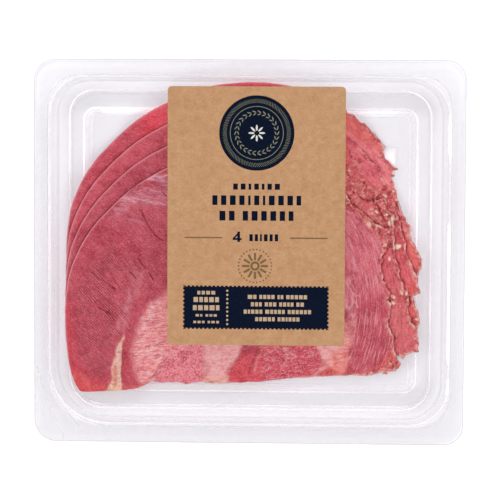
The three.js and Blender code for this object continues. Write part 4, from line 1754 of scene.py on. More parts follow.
FAT_LUMPS = (
    (59.3, 12.9, 2.0), (61.7, 2.4, 1.7), (56.9, 3.1, 0.9), (58.5, -2.8, 0.9), (53.1, 16.9, 0.9),
    (57.1, 15.6, 1.0), (56.6, 23.6, 0.8), (59.8, 25.2, 0.7), (60.3, -18.6, 1.1), (60.0, -21.4, 1.0),
    (63.8, -16.9, 1.0), (65.9, -17.0, 1.0), (70.2, -28.2, 0.8), (51.5, -51.2, 0.8), (55.0, -51.5, 0.7),
    (58.6, -50.9, 0.9), (61.3, -49.6, 0.8),
)


# How veined and how marbled the top slice is in each zone; in the sheen zone the marbled streaks are painted
# sheen
MARBLING = (
    (MARBLED, 0.0, 1.0), (PEACH, 0.35, 0.7), (PAINTED_SHEEN, 0.0, 0.4), (PALE, 0.0, 0.6), (WEBBED, 1.0, 0.5),
    (REDDEST, 0.0, 0.12),
)

# How grainy it is in each zone, and how bold its fibres are
GRAIN_LEVELS = (
    (MARBLED, 0.4), (GRAINY, 0.8), (PEACH, 0.3), (WEBBED, 0.4), (WEDGE, 0.6), (REDDEST, 0.35), (PALE, 0.25),
)
FIBRE_LEVELS = ((WEDGE, 0.1), (MARBLED, 0.3), (GRAINY, 0.15), (PEACH, 0.25), (WEBBED, 0.45), (PALE, 0.15))


def flake(x: Array, y: Array, px: float, py: float, size: float) -> Array:
    """How much points lie in a longish flake, turned by where it lies, from 0 to 1.

    Args:
        x, y: Positions in mm.
        px, py: Middle of the flake.
        size: About half its length in mm.

    Returns:
        Shares from 0 to 1.
    """
    turn = 1.3 * px + 0.7 * py
    along = (x - px) * math.cos(turn) + (y - py) * math.sin(turn)
    across = (y - py) * math.cos(turn) - (x - px) * math.sin(turn)
    return np.exp(-((along / 1.25) ** 2 + (across / 0.72) ** 2) / size**2)


def untangled(points: Array, reach: int = 14) -> Array:
    """A closed outline without the small loops where it crosses itself.

    Args:
        points: The outline's points.
        reach: The most points that a loop has.

    Returns:
        The points that are left.
    """
    kept = [tuple(p) for p in points]
    i = 0
    while i < len(kept):
        a, b = kept[i], kept[(i + 1) % len(kept)]
        for ahead in range(reach, 1, -1):
            j = (i + ahead) % len(kept)
            c, d = kept[j], kept[(j + 1) % len(kept)]
            if crosses(a, b, c, d):
                drop = {(i + k) % len(kept) for k in range(1, ahead + 1)}
                kept = [p for k, p in enumerate(kept) if k not in drop]
                i = max(i - len([k for k in drop if k < i]) - 1, -1)
                break
        i += 1
    return np.array(kept)


def crosses(a: Point, b: Point, c: Point, d: Point) -> bool:
    """Tells whether the line from a to b crosses the line from c to d.

    Args:
        a, b, c, d: The lines' ends.

    Returns:
        True where they cross.
    """

    def turn(p: Point, q: Point, r: Point) -> float:
        """Positive where r lies left of the line from p to q."""
        return (q[0] - p[0]) * (r[1] - p[1]) - (q[1] - p[1]) * (r[0] - p[0])

    return turn(a, b, c) * turn(a, b, d) < 0 and turn(c, d, a) * turn(c, d, b) < 0


class SliceOutline:
    """The outline of one slice, with quick distances to it."""

    def __init__(self, points: Array) -> None:
        """Keeps the outline's points, counter-clockwise."""
        self.points = points
        self.tree = point_tree(even_steps(points, 0.25))

    def depth(self, x: Array, y: Array) -> Array:
        """How far inside the outline points lie in mm, negative outside it."""
        near = tree_distance(self.tree, x, y)
        return np.where(inside_path(x, y, self.points.tolist()), near, -near)

    def offset(self, inward: float) -> Array:
        """Points of the outline moved inward, without those that come too near it again.

        Args:
            inward: How far in mm, less than 0 for outward.

        Returns:
            An array of points.
        """
        moved = self.points + left_ways(self.points) * inward
        depth = self.depth(*moved.T)
        return moved[depth > 0.85 * inward] if inward > 0 else moved[depth < 0.85 * inward]

    def lattice(self, step: float, margin: float) -> Array:
        """A triangular lattice of points inside the outline.

        Args:
            step: Distance between points in mm.
            margin: How far inside the outline they start, in mm.

        Returns:
            An array of points.
        """
        low, high = self.points.min(0), self.points.max(0)
        rows = []
        for i, y in enumerate(np.arange(low[1], high[1], step * 0.866)):
            x = np.arange(low[0] + (i % 2) * step / 2, high[0], step)
            rows.append(np.column_stack([x, np.full(len(x), y)]))
        grid = np.vstack(rows)
        return grid[self.depth(*grid.T) > margin]


@dataclass(frozen=True)
class Spots:
    """Places on one slice, with how far they lie inside its outline and off the slices on it, in mm."""

    number: int
    x: Array
    y: Array
    depth: Array
    cover: Array


@dataclass
class Crumbs:
    """Small lumps of meat and fat on the torn sides, set by Geometry Nodes."""

    name: str = "tongue_crumbs"
    span: Pair = (0.4, 1.1)
    flatness: Pair = (0.3, 0.75)
    knobbly: float = 0.9
    tones: tuple[str, ...] = ("#B8344A", "#DC6068", "#EE8078", "#F69C8C", "#F9CEB6")
    shares: Numbers = (0.14, 0.25, 0.31, 0.26, 0.04)
    grit: float = 0.5

    def tree(self) -> NodeTree:
        """Builds the node tree: a knobbly lump on each point, one mesh, one material.

        Returns:
            The node tree.
        """
        kinds = {"Points": "Geometry", "Knobbly": "Float", "Material": "Material"}
        tree, given = node_group(self.name, kinds)
        node = partial(add_node, tree)
        ball = node("GeometryNodeMeshIcoSphere", {"Radius": 0.5, "Subdivisions": 2})
        bumps = node("ShaderNodeTexNoise", {"Scale": 2.6, "Detail": 0.0})
        centred = {0: bumps.outputs["Color"], 1: (0.5, 0.5, 0.5)}
        swing = node("ShaderNodeVectorMath", centred, operation="SUBTRACT")
        push = node("ShaderNodeVectorMath", {0: swing, "Scale": given["Knobbly"]}, operation="SCALE")
        lump = node("GeometryNodeSetPosition", {"Geometry": ball, "Offset": push})
        turn, span = (
            node("GeometryNodeInputNamedAttribute", {"Name": name}, data_type="FLOAT_VECTOR")
            for name in ("turn", "span")
        )
        rotation = node("FunctionNodeEulerToRotation", {0: turn})
        parts = {"Points": given["Points"], "Instance": lump, "Rotation": rotation, "Scale": span}
        set_out = node("GeometryNodeInstanceOnPoints", parts)
        return end_group(tree, set_out, given["Material"])

    def build(self, places: Array, tones: Array, draw: np.random.Generator, material: Material) -> None:
        """Sets the crumbs and keeps them as one plain mesh.

        Args:
            places: Where they lie, in mm.
            tones: The number of each crumb's colour.
            draw: The seeded generator.
            material: The meat.
        """
        count = len(places)
        size = draw.uniform(*self.span, count) ** 1.5
        spans = ((1.0, 1.8), (0.7, 1.1), self.flatness)
        stretch = np.column_stack([draw.uniform(*span, count) for span in spans])
        turns = np.column_stack([draw.uniform(-0.5, 0.5, (count, 2)), draw.uniform(0, math.tau, count)])
        piece = make_object(self.name, places, [])
        store(piece, "span", "FLOAT_VECTOR", stretch * size[:, None] * MM)
        store(piece, "turn", "FLOAT_VECTOR", turns)
        store(piece, "flesh", "FLOAT_COLOR", np.array([linear(code) for code in self.tones])[tones])
        store(piece, "grit_shade_and_highlight", "FLOAT_VECTOR", np.tile((self.grit, 0.0, 0.0), (count, 1)))
        grow(piece, self.tree(), {"Knobbly": self.knobbly, "Material": material})
        LOG.info("%d crumbs", count)
        finish_piece(piece, material, "cured_meat")


@dataclass
class SlicePile:
    """Four slices of pressed tongue, shingled down the pack and sagging from the ledge to the floor."""

    thickness: float = 1.7
    gap: float = 0.1
    shingle_step: float = 9.15
    ledge_rest: float = 5.5
    floor_rest: float = 0.8
    sag: Pair = (5.0, 26.0)
    drape: Pair = (0.4, 9.2)
    rim_round: float = 0.5
    rim_low: float = 0.22
    rim_step: float = 0.42
    lattice: Numbers = (0.85, 0.85, 0.8, 0.56)
    under_lattice: float = 2.4
    torn_lattice: float = 0.46
    ragged: Numbers = (0.06, 0.6, 0.24)
    crumble_reach: Pair = (2.6, 8.0)
    fold: Numbers = (-48.4, 26.4, 1.9)
    seed: int = 40
    bed_half: Pair = (80.8, 70.9)
    bed_middle: float = 0.4
    bed_corner: float = 14.6
    bands: tuple[str, ...] = ("#F45364", "#D45867", "#C65061", "#CA4F60")
    torn_colours: tuple[str, ...] = ("#FA8478", "#F67E78", "#F8867E", "#F07C78")
    torn_from: float = 34.0
    torn_full: float = 42.0
    torn_thinning: Pair = (7.0, 0.34)
    joined_thinning: Pair = (3.5, 0.5)
    lumps: tuple[tuple[float, float, int, int], ...] = ((0.42, 2.1, 30, 3), (0.2, 0.95, 35, 2))
    waves: Pair = (0.07, 7.5)
    fat_height: float = 0.45
    pit_depth: float = 0.55
    slit_deepness: float = 0.7
    no_cover: float = 99.0
    bow: Numbers = (14.0, -23.0, 42.0)
    finish: CuredMeat = CuredMeat()
    meat: Material | None = None
    outlines: list[SliceOutline] = field(default_factory=list)
    crumb_tries: tuple[int, ...] = (2400, 2400, 2600, 2400)
    specks: tuple[tuple[str, float, int, float, float], ...] = (
        ("#D8547A", 3.8, 75, 0.75, 1.0),
        ("#B4283C", 1.8, 74, 0.7, 1.0),
        ("#FFC4B4", 1.3, 72, 1.0, 0.0),
    )
    crumbs: Crumbs = field(default_factory=Crumbs)
    round_side: tuple[Point, ...] = (
        (-60.7, -59.8), (-69.7, -60.1), (-72.3, -58.5), (-75.0, -52.1), (-76.4, -43.9), (-77.1, -34.2),
        (-77.1, -24.6), (-76.3, -15.9), (-74.8, -8.2), (-70.7, 1.7), (-65.7, 9.7), (-61.6, 14.5),
        (-54.7, 21.5), (-46.1, 28.4), (-34.3, 35.0), (-18.6, 41.1), (0.3, 43.4), (17.0, 41.8),
        (29.6, 38.0),
    )
    cut_side: tuple[Point, ...] = (
        (59.8, -50.6), (58.1, -51.8), (56.4, -51.0), (53.3, -51.6), (49.7, -52.7), (44.3, -52.2),
        (29.6, -53.1), (17.0, -53.9), (6.6, -55.1), (-3.9, -55.9), (-15.2, -56.2), (-19.8, -55.6),
        (-23.6, -56.1), (-26.9, -56.6), (-30.3, -55.8), (-33.2, -55.8), (-37.4, -56.2), (-41.2, -55.6),
        (-44.0, -57.2), (-47.5, -58.5), (-50.5, -59.2),
    )
    torn_sides: tuple[tuple[Point, ...], ...] = (
        (
            (42.8, 57.3), (47.1, 53.9), (50.0, 51.3), (52.9, 48.4), (55.3, 46.0), (57.0, 44.1),
            (55.1, 41.9), (57.0, 38.8), (59.2, 36.2), (61.8, 34.4), (59.7, 34.0), (59.8, 33.0),
            (61.3, 32.1), (59.4, 31.2), (60.2, 28.7), (61.1, 25.4), (62.3, 21.2), (63.7, 17.4),
            (65.4, 13.5), (66.9, 10.7), (68.3, 9.3), (66.4, 8.0), (67.8, 5.9), (69.3, 3.4), (70.9, -0.4),
            (72.1, -3.4), (72.1, -6.0), (71.5, -7.5), (70.0, -11.0), (68.5, -16.0), (64.0, -23.0),
        ),
        (
            (46.4, 43.7), (53.4, 36.2), (55.8, 30.9), (57.9, 27.0), (59.7, 24.6), (61.1, 20.8),
            (64.4, 7.3), (65.7, 3.2), (66.2, -1.3), (67.7, -4.5), (69.4, -7.7), (70.7, -11.4),
            (71.1, -14.5), (71.6, -17.1), (68.5, -18.8), (69.6, -21.4), (70.9, -25.2), (71.5, -29.8),
            (70.2, -32.4), (66.0, -33.5),
        ),
        (
            (43.0, 29.5), (45.9, 27.0), (49.7, 27.6), (55.3, 26.5), (53.1, 21.9), (57.2, 22.7),
            (57.7, 18.4), (60.6, 15.0), (60.9, 7.7), (61.0, -0.2), (61.7, -3.9), (62.8, -7.3),
            (63.2, -10.3), (64.5, -13.0), (65.7, -15.8), (67.0, -16.7), (66.7, -20.0), (67.0, -23.6),
            (67.7, -26.8), (68.1, -29.4), (70.0, -30.7), (70.9, -33.6), (70.4, -36.2), (71.1, -39.2),
            (71.6, -42.0), (67.5, -42.9), (65.7, -43.5), (64.7, -45.3), (62.6, -43.5),
        ),
        (
            (40.1, 25.7), (42.8, 20.8), (44.7, 18.8), (46.8, 17.3), (47.6, 15.7), (50.5, 14.3),
            (52.4, 12.1), (54.8, 11.1), (57.2, 10.2), (59.2, 8.3), (57.4, 0.8), (55.7, -1.7), (55.5, -5.2),
            (55.9, -8.1), (56.6, -12.0), (57.2, -14.1), (59.3, -16.5), (58.7, -19.9), (59.5, -22.7),
            (59.5, -25.5), (58.5, -28.5), (59.3, -32.4), (60.6, -35.8), (61.3, -41.8), (62.3, -43.9),
            (63.5, -46.7), (63.3, -48.9), (61.9, -50.3),
        ),
    )

    def outline(self, number: int) -> SliceOutline:
        """The finely ragged outline of one slice.

        Args:
            number: Which slice, 0 for the lowest.

        Returns:
            Its outline where it lies in the pack, counter-clockwise.
        """
        rise = np.array((0.0, (len(self.torn_sides) - 1 - number) * self.shingle_step))
        round_side = np.array(spline_through(self.round_side, 8)) + rise
        sides = (round_side, np.array(self.torn_sides[number]), np.array(self.cut_side) + rise)
        corners = np.vstack(sides)
        order = even_steps(corners, self.rim_step)
        closest = np.argmin(np.hypot(*(order[:, None] - corners).T), axis=0)
        roughness = np.repeat(self.ragged, [len(side) for side in sides])[closest]
        amounts = np.convolve(np.pad(roughness, 4, mode="wrap"), np.ones(9) / 9, mode="valid")
        along = np.arange(len(order)) * self.rim_step
        wobble = sum(
            share * lattice_noise(along / size, np.full(len(along), row), self.seed + shift + number)
            for share, size, row, shift in ((0.65, 2.1, 0.0, 0), (0.45, 0.95, 5.0, 10))
        )
        return SliceOutline(untangled((order + left_ways(order) * (amounts * wobble)[:, None])[::-1]))

    def tornness(self, number: int, x: Array, y: Array, reach: float) -> Array:
        """How crumbled a slice is, from 1 at its torn side to 0 at a reach inside it."""
        near = smooth(reach - path_distance(x, y, self.torn_sides[number]), 0, reach)
        return near * smooth(x, self.torn_from, 46)

    def crumbled(self, number: int, x: Array, y: Array) -> Array:
        """How crumbly a slice's top is: near its torn edge, and more widely where it flakes.

        Args:
            number: Which slice.
            x, y: Positions in mm.

        Returns:
            Shares from 0 to 1.
        """
        flaky = FLAKY.share(x, y)
        narrow, wide = self.crumble_reach
        reach = narrow + (wide - narrow) * flaky
        near = smooth(1 - path_distance(x, y, self.torn_sides[number]) / reach, 0, 1)
        worn = np.maximum(near, 0.55 * flaky) * smooth(x, self.torn_from, self.torn_full)
        if number < len(self.torn_sides) - 1:
            return worn
        return np.maximum(worn * (1 - 0.5 * smooth(-y, 2, 12)), 0.75 * LOWEST.share(x, y))

    def slice_thickness(self, number: int, x: Array, y: Array) -> Array:
        """The thickness of a slice, thinner along its torn side.

        Args:
            number: Which slice.
            x, y: Positions in mm.

        Returns:
            Thicknesses in mm.
        """
        reach, thinned = self.torn_thinning
        torn = self.tornness(number, x, y, reach)
        reach, feather = self.joined_thinning
        feathered = feather * JOINED.share(x, y) * self.tornness(number, x, y, reach)
        lumps = 0.04 * layered_noise(x, y, 11, self.seed + 20 + number)
        return self.thickness * (1 - thinned * torn - feathered) + lumps

    def rest_height(self, x: Array, y: Array) -> Array:
        """The height that the lowest slice lies at: on the ledge by the wall, sagging to the floor.

        Args:
            x, y: Positions in mm.

        Returns:
            Heights in mm.
        """
        over_x = np.abs(x) - (self.bed_half[0] - self.bed_corner)
        over_y = np.abs(y - self.bed_middle) - (self.bed_half[1] - self.bed_corner)
        outside = np.hypot(np.maximum(over_x, 0), np.maximum(over_y, 0))
        inside = self.bed_corner - outside - np.minimum(np.maximum(over_x, over_y), 0)
        return self.ledge_rest + (self.floor_rest - self.ledge_rest) * smooth(inside, *self.sag)

    def lying_height(self, number: int, x: Array, y: Array) -> Array:
        """The underside of a slice, draped over the slices below it.

        Args:
            number: Which slice.
            x, y: Positions in mm.

        Returns:
            Heights in mm.
        """
        height = self.rest_height(x, y)
        for below in range(number):
            beyond = -self.outlines[below].depth(x, y)
            lift = self.slice_thickness(below, x, y) + self.gap
            height = height + (1 - smooth(beyond, *self.drape)) * lift
        return height

    def marked_points(self, number: int) -> Array:
        """Extra mesh points where a slice needs them: along slits, fine strokes and edges that lie on it.

        Args:
            number: Which slice.

        Returns:
            An array of points.
        """
        above = self.outlines[number + 1 :]
        found = [outline.offset(reach) for outline in above for reach in (-0.12, -0.4, -0.8, 0.35)]
        lines = [slit for slit in SLITS if slit.number == number]
        if number == len(self.outlines) - 1:
            lines += [stroke for stroke in STROKES if stroke.width < 0.5]
        for made in lines:
            line = even_steps(made.path, 0.24, closed=False)
            found += [line + left_ways(line, False) * made.width * off for off in (-1.8, -0.9, 0.0, 0.9, 1.8)]
        return np.vstack(found)

    def mesh_points(self, number: int) -> tuple[Array, Array]:
        """The inner points of a slice's mesh.

        Args:
            number: Which slice.

        Returns:
            Points of its top and of its underside.
        """
        outline = self.outlines[number]
        rings = [outline.offset(reach) for reach in (0.07, 0.22, 0.46)]
        fine = outline.lattice(self.torn_lattice, 0.62)
        fine = fine[self.tornness(number, *fine.T, 10.5) > 0.12]
        fine = fine[self.cover(number, *fine.T) > 0.2]
        marked = np.vstack([self.marked_points(number), fine])
        marked = marked[outline.depth(*marked.T) > 0.7]
        grid = outline.lattice(self.lattice[number], 0.46 + 0.5 * self.lattice[number])
        grid = grid[tree_distance(point_tree(marked), *grid.T) > 0.3]
        top = np.unique(np.round(np.vstack([*rings, marked, grid]), 3), axis=0)
        return top, outline.lattice(self.under_lattice, 0.8)

    def relief(self, at: Spots) -> Array:
        """How far the top of a slice stands above or below smooth.

        Args:
            at: Places on the slice.

        Returns:
            Heights in mm.
        """
        x, y, number = at.x, at.y, at.number
        lumps = sum(
            share * layered_noise(x, y, size, self.seed + shift + number, layers)
            for share, size, shift, layers in self.lumps
        )
        share, size = self.waves
        height = share * layered_noise(x, y, size, self.seed + 40 + number)
        height = height + self.crumbled(number, x, y) * lumps
        for lump in FAT_LUMPS:
            height = height + self.fat_height * flake(x, y, *lump)
        for pit in PITS:
            height = height - self.pit_depth * dimple(x, y, *pit)
        for slit in SLITS:
            if slit.number == number:
                height = height - self.slit_deepness * slit.depth * slit.share(x, y)
        return np.where(at.cover > 0.25, height, np.minimum(height, 0.0) * 0.3)

    def swell(self, depth: Array) -> Array:
        """How full the rounded rim is at depths inside the outline, from 0 to 1."""
        return np.sqrt(np.clip(1 - (1 - np.minimum(depth / self.rim_round, 1)) ** 2, 0, 1))

    def top_height(self, at: Spots) -> Array:
        """The height of a slice's top, with its round rim and its relief.

        Args:
            at: Places on the slice.

        Returns:
            Heights in mm.
        """
        rise = self.rim_low + (1 - self.rim_low) * self.swell(at.depth)
        height = self.lying_height(at.number, at.x, at.y) + self.slice_thickness(at.number, at.x, at.y) * rise
        return height + self.relief(at) * smooth(at.depth, 0, 0.7)

    def cover(self, number: int, x: Array, y: Array) -> Array:
        """How far places lie outside the slices that lie on a slice in mm, far where there is none."""
        away = [-outline.depth(x, y) for outline in self.outlines[number + 1 :]]
        return np.min([np.full(len(x), self.no_cover), *away], axis=0)

    def spots(self, number: int, x: Array, y: Array) -> Spots:
        """Gathers places on a slice with their depth and cover."""
        return Spots(number, x, y, self.outlines[number].depth(x, y), self.cover(number, x, y))

    def build_crumbs(self) -> None:
        """Sets crumbs where the slices' tops are crumbly and nothing lies on them."""
        draw = np.random.default_rng(self.seed)
        places, tones = [], []
        for number, count in enumerate(self.crumb_tries):
            path = np.array(self.torn_sides[number])
            x = draw.uniform(self.torn_from, path[:, 0].max(), count)
            y = draw.uniform(path[:, 1].min() - 6, path[:, 1].max() + 6, count)
            at = self.spots(number, x, y)
            clumped = self.crumbled(number, x, y) * (0.7 + 0.9 * layered_noise(x, y, 3.0, 87 + number, 2))
            keep = (at.depth > 0.1) & (at.cover > 0.1) & (clumped > draw.uniform(0.15, 1.0, count))
            kept = Spots(number, x[keep], y[keep], at.depth[keep], at.cover[keep])
            places.append(np.column_stack([kept.x, kept.y, self.top_height(kept)]))
            tones.append(draw.choice(len(self.crumbs.tones), keep.sum(), p=self.crumbs.shares))
        self.crumbs.build(np.vstack(places), np.concatenate(tones), draw, self.meat)

    def build_slice(self, number: int) -> None:
        """Builds and dresses one slice.

        Args:
            number: Which slice, 0 for the lowest.
        """
        outline = self.outlines[number]
        rim_count = len(outline.points)
        inner_top, inner_under = self.mesh_points(number)
        flat, faces = triangulate(outline.points, inner_top)
        under_flat, under_faces = triangulate(outline.points, inner_under)
        at = self.spots(number, *flat.T)
        at.depth[:rim_count] = 0
        x, y = under_flat[rim_count:].T
        hollow = self.rim_low * (1 - self.swell(outline.depth(x, y)))
        under = self.lying_height(number, x, y) + self.slice_thickness(number, x, y) * hollow
        points = np.vstack([np.column_stack([flat, self.top_height(at)]), np.column_stack([x, y, under])])
        shift = len(flat) - rim_count
        faces += [tuple(i if i < rim_count else i + shift for i in reversed(f)) for f in under_faces]
        piece = make_object(f"tongue_slice_{number + 1}", points, faces)
        for name, values in SlicePaint(self, at).values().items():
            plain = np.tile(values.mean(0), (len(x), 1))
            kind = "FLOAT_COLOR" if name == "flesh" else "FLOAT_VECTOR"
            store(piece, name, kind, np.vstack([values, plain]))
        finish_piece(piece, self.meat, "cured_meat", f"slice_{number + 1}")

    def build(self) -> None:
        """Builds all slices, the lowest first, and the crumbs."""
        self.meat = self.finish.material()
        self.outlines = [self.outline(number) for number in range(len(self.torn_sides))]
        for number in range(len(self.torn_sides)):
            self.build_slice(number)
        self.build_crumbs()


class SlicePaint:
    """What is painted on a slice's top: its colour, and how marked, gritty, grainy and fibrous it is, with
    painted shade in hollows and painted highlights on rims.
    """

    def __init__(self, pile: SlicePile, at: Spots) -> None:
        """Works out the shares that several paints use.

        Args:
            pile: The slices.
            at: Places on one slice.
        """
        self.pile = pile
        self.at = at
        self.is_top = at.number == len(pile.torn_sides) - 1
        self.wx, self.wy = (
            way + 0.9 * layered_noise(at.x, at.y, 5.0, seed, 3) for way, seed in ((at.x, 61), (at.y, 67))
        )
        self.crumbled = pile.crumbled(at.number, at.x, at.y)
        self.joined = JOINED.share(at.x, at.y)
        self.calm = 0.6 * self.joined * (at.number < 2)
        self.torn_side = smooth(at.x, pile.torn_from, pile.torn_full)
        self.unfolded = 1 - dimple(at.x, at.y, *pile.fold)
        self.seam_shade = self.seam_shade_share()

    def noise(self, size: float, seed: int, layers: int = 3) -> Array:
        """Noise at the places."""
        return layered_noise(self.at.x, self.at.y, size, seed, layers)

    def seam_shade_share(self) -> Array:
        """How much painted shade places get along the edge of a slice that lies on top, from 0 to 1.

        Returns:
            Shares from 0 to 1.
        """
        torn = self.torn_side
        uneven = self.noise(2.4, 79)
        width = 0.25 + torn * (0.1 + 0.3 * smooth(uneven, -0.3, 0.5))
        away = np.maximum(self.at.cover + 0.3 * torn * self.noise(1.3, 81, 2), 0)
        seam_shade = np.where(self.at.cover > -0.4, np.exp(-((away / width) ** 2)), 0.0)
        seam_shade = seam_shade * (0.75 * (1 - torn) + torn * (0.15 + 0.75 * smooth(uneven, -0.25, 0.25)))
        return seam_shade * self.unfolded * (1 - 0.9 * self.joined)

    def colour(self) -> Array:
        """The flesh colour: a band, patches and strokes, crumbly spots over them, and painted red shade in
        the seams and on the edge walls of the torn side.

        Returns:
            Linear colours, one for each place.
        """
        x, y, number, crumbled = self.at.x, self.at.y, self.at.number, self.crumbled
        colour = np.tile(linear(self.pile.bands[number]), (len(x), 1))
        for patch in PATCHES:
            if patch.number == number:
                colour = laid_over(colour, patch.colour, patch.strength * patch.share(self.wx, self.wy))
        for stroke in STROKES if self.is_top else ():
            away = path_distance(self.wx * 0.15 + x * 0.85, self.wy * 0.15 + y * 0.85, stroke.path)
            share = stroke.strength * np.exp(-((away / stroke.width) ** 2))
            colour = laid_over(colour, stroke.colour, share)
        crumbly = 0.7 * crumbled * (0.8 + 0.5 * self.noise(4.0, 71))
        colour = laid_over(colour, self.pile.torn_colours[number], crumbly)
        for code, size, seed, share, calmed in self.pile.specks:
            speck = smooth(self.noise(size, seed + number, 2), 0.14, 0.38)
            colour = laid_over(colour, code, share * crumbled * speck * (1 - self.calm * calmed))
        # Painted shade: saturated red in the seams of the torn side and on its shaded edge walls
        colour = laid_over(colour, "#C00A20", 1.1 * self.seam_shade * self.torn_side)
        edge = 0.8 * self.torn_side * np.exp(-((self.at.depth / 0.2) ** 2))
        return laid_over(colour, "#B81026", edge * (1 - self.joined))

    def fat(self) -> Array:
        """How fatty the flesh is: lumps, and a frill along the torn edge.

        Returns:
            Shares from 0 to 1.
        """
        fat = np.zeros(len(self.at.x))
        ragged = 0.4 * self.noise(1.0, 73)
        for lump in FAT_LUMPS:
            fat = np.maximum(fat, smooth(flake(self.at.x, self.at.y, *lump) + ragged, 0.42, 0.62))
        frill = self.torn_side * np.exp(-(((self.at.depth - 0.5) / 0.26) ** 2))
        frill = frill * smooth(self.noise(1.7, 85, 2), -0.05, 0.3)
        return np.maximum(fat, 0.85 * frill * (1 - self.joined))

    def gloom(self) -> Array:
        """How much painted shade it gets: in slits, pits, seams under the slices on top and holes between
        crumbs.

        Returns:
            Shares from 0 to 1.
        """
        x, y, number = self.at.x, self.at.y, self.at.number
        holes = self.crumbled * smooth(self.noise(1.5, 89 + number, 2), 0.36, 0.6)
        gloom = np.maximum(self.seam_shade * (1 - 0.72 * self.torn_side), 0.6 * holes * (1 - self.calm))
        for slit in SLITS:
            if slit.number == number:
                gloom = np.maximum(gloom, slit.dark * slit.share(x, y))
        for px, py, size in PITS:
            gloom = np.maximum(gloom, 0.85 * dimple(x, y, px, py, 0.75 * size))
        return gloom

    def rim(self) -> Array:
        """How much places get the painted highlight along the cut rim, where the edge catches the light,
        broken along the torn side.

        Returns:
            Shares from 0 to 1.
        """
        torn = self.torn_side
        broken = smooth(self.noise(1.9, 83, 2), -0.3, 0.5)
        rim = np.exp(-(((self.at.depth - 0.18 - 0.3 * torn) / 0.3) ** 2))
        rim = rim * (0.85 * (1 - torn) + 0.55 * torn * broken)
        return rim * smooth(self.at.y, -58, -50) * self.unfolded * (1 - self.joined)

    def marbling(self) -> list[Array]:
        """How veined and how marbled the flesh is, by zone on the top slice."""
        zones = [(zone.share(self.wx, self.wy), *levels) for zone, *levels in MARBLING] if self.is_top else []
        return [np.clip(sum((z[i] * z[0] for z in zones), np.zeros(len(self.at.x))), 0, i) for i in (1, 2)]

    def grain(self) -> Array:
        """How grainy the cut is: more where it crumbles, and by zone on the top slice.

        Returns:
            Shares from 0 to 1.
        """
        grain = 0.3 + 0.4 * self.crumbled
        for zone, level in GRAIN_LEVELS if self.is_top else ():
            grain = grain + (level - grain) * zone.share(self.wx, self.wy)
        return grain

    def streaks(self) -> tuple[Array, Array]:
        """How hairy and how lined the top slice is.

        Returns:
            Two rows of shares from 0 to 1.
        """
        # In the sheen zone the light hairs are painted sheen
        hair = np.maximum(
            HAIRY.share(self.wx, self.wy) * (1 - self.crumbled), 0.8 * PAINTED_SHEEN.share(self.wx, self.wy)
        )
        lined = LINED.share(self.wx, self.wy) * (1 - WEDGE.share(self.at.x, self.at.y, 1.0))
        return hair * self.is_top, lined * self.is_top

    def lie(self) -> Array:
        """How strongly the fibres lie each of their three ways.

        Returns:
            Three weights for each place.
        """
        x, y = self.at.x, self.at.y
        left = smooth(-x, -6, 14) * (1 - smooth(y - 0.35 * x, 28, 40))
        right = smooth(x, 12, 34)
        top = np.clip(1 - left - right, 0, 1)
        strength = 0.45 + 0.35 * right * (1 - self.crumbled)
        if self.is_top:
            # Fibres show more in the sheen zone, where their light strands are painted sheen
            strength = strength + 0.45 * PAINTED_SHEEN.share(self.wx, self.wy) + 0.2 * LINED.share(self.wx, self.wy)
            for zone, level in FIBRE_LEVELS:
                strength = strength + (level - strength) * zone.share(x, y)
        return np.column_stack([left, top, right]) * (strength / (left + right + top))[:, None]

    def values(self) -> dict[str, Array]:
        """All painted values by attribute name.

        Returns:
            Rows of values by name.
        """
        x, y = self.at.x, self.at.y
        grit = smooth(self.crumbled + 0.35 * self.noise(3.5, 77), 0.2, 0.75)
        depth, middle, half = self.pile.bow
        bow = depth * (1 - ((y - middle) / half) ** 2)
        return {
            "flesh": self.colour(),
            "marks": np.column_stack([self.fat(), *self.marbling()]),
            # Grit, then painted shade in hollows, then the painted highlight on rims
            "grit_shade_and_highlight": np.column_stack([0.04 + 0.86 * grit, self.gloom(), self.rim()]),
            "cut": np.column_stack([self.grain(), *self.streaks()]),
            "lie": self.lie(),
            "sweep": np.column_stack([-y, x - bow, np.zeros(len(x))]),
        }


# Studio


@dataclass(frozen=True)
class SoftBox:
    """A studio light: an area light at a place, facing the pack."""

    name: str
    place: Numbers
    size: Pair
    power: float


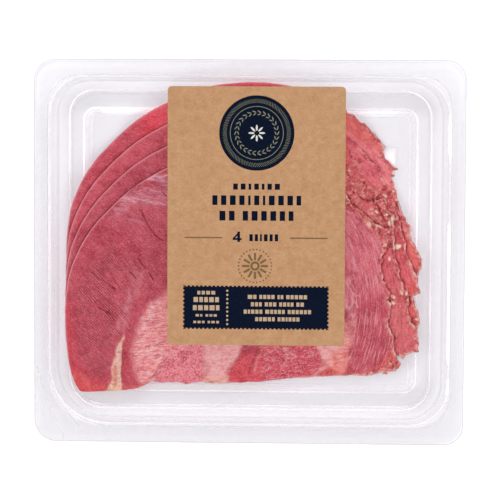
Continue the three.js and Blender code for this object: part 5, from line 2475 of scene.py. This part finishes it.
@dataclass
class Studio:
    """The pale floor, the soft lights and the camera that looks down on the pack."""

    target: Numbers = (0.58, 1.04, 14.0)
    distance: float = 1000.0
    tilt_right: float = 2.5
    tilt_up: float = 4.0
    roll: float = 0.25
    lens: float = 173.0
    sensor: float = 36.0
    floor_half: float = 1500.0
    floor_drop: float = 0.02
    world: float = 0.625
    world_above: float = 0.12
    dark_above: Pair = (0.93, 0.985)
    lights: tuple[SoftBox, ...] = (
        SoftBox("softbox_left", (-600, 60, 560), (70, 560), 1.3),
        SoftBox("softbox_right", (600, 60, 560), (70, 560), 1.3),
        SoftBox("softbox_top", (0, 600, 560), (560, 70), 1.38),
        SoftBox("softbox_bottom", (60, -600, 560), (560, 70), 1.3),
    )
    paper: StudioPaper = StudioPaper()

    def build_floor(self) -> None:
        """Lays the plain floor just under the pack."""
        h, z = self.floor_half, -self.floor_drop
        corners = np.array([(x, y, z) for x, y in box_outline(-h, -h, h, h)])
        floor = make_object("studio_floor", corners, [(0, 1, 2, 3)], False)
        floor.data.materials.append(self.paper.material())

    def build_lights(self) -> None:
        """Sets the soft white surroundings and the area lights."""
        world = bpy.data.worlds.new("studio_white")
        world.use_nodes = True
        tree = world.node_tree
        node = partial(add_node, tree)
        heading = node("ShaderNodeTexCoord")
        height = node("ShaderNodeSeparateXYZ", {0: heading.outputs["Generated"]})
        levels = {"Value": height.outputs["Z"], "To Min": self.world, "To Max": self.world_above}
        levels.update(zip(("From Min", "From Max"), self.dark_above))
        dimmed = node("ShaderNodeMapRange", levels, interpolation_type="SMOOTHSTEP")
        set_inputs(tree, tree.nodes["Background"], {0: (1, 1, 1, 1), 1: dimmed})
        bpy.context.scene.world = world
        for box in self.lights:
            light = bpy.data.lights.new(box.name, "AREA")
            light.shape = "RECTANGLE"
            light.size, light.size_y = box.size[0] * MM, box.size[1] * MM
            light.energy = box.power
            lamp = bpy.data.objects.new(box.name, light)
            lamp.location = Vector(box.place) * MM
            lamp.rotation_euler = (-lamp.location).to_track_quat("-Z", "Y").to_euler()
            lamp.visible_camera = lamp.visible_glossy = False
            bpy.context.scene.collection.objects.link(lamp)

    def build_camera(self) -> None:
        """Sets the camera above the pack, tilted a little as in the photo."""
        data = bpy.data.cameras.new("camera")
        data.lens, data.sensor_width = self.lens, self.sensor
        data.clip_start, data.clip_end = 0.01, 20
        camera = bpy.data.objects.new("camera", data)
        bpy.context.scene.collection.objects.link(camera)
        slants = [math.tan(math.radians(tilt)) for tilt in (self.tilt_right, self.tilt_up)]
        back = Vector((*slants, 1)).normalized()
        right = Vector((0, 1, 0)).cross(back).normalized()
        up = back.cross(right)
        turn = Matrix.Rotation(math.radians(self.roll), 3, back)
        axes = Matrix((turn @ right, turn @ up, back)).transposed().to_4x4()
        camera.matrix_world = Matrix.Translation((Vector(self.target) + back * self.distance) * MM) @ axes
        bpy.context.scene.camera = camera

    def build(self) -> None:
        """Builds the floor, lights, camera and view settings."""
        self.build_floor()
        self.build_lights()
        self.build_camera()
        bpy.context.scene.view_settings.view_transform = "Standard"


def main() -> None:
    """Builds the pack's looks and the studio round it."""
    logging.basicConfig(level=logging.INFO, format="%(relativeCreated)d %(message)s")
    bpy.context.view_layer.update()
    Studio().build()
    SlicePile().build()
    Tray().build()
    LidFilm().build()
    Label().build()


if __name__ == "__main__":
    main()
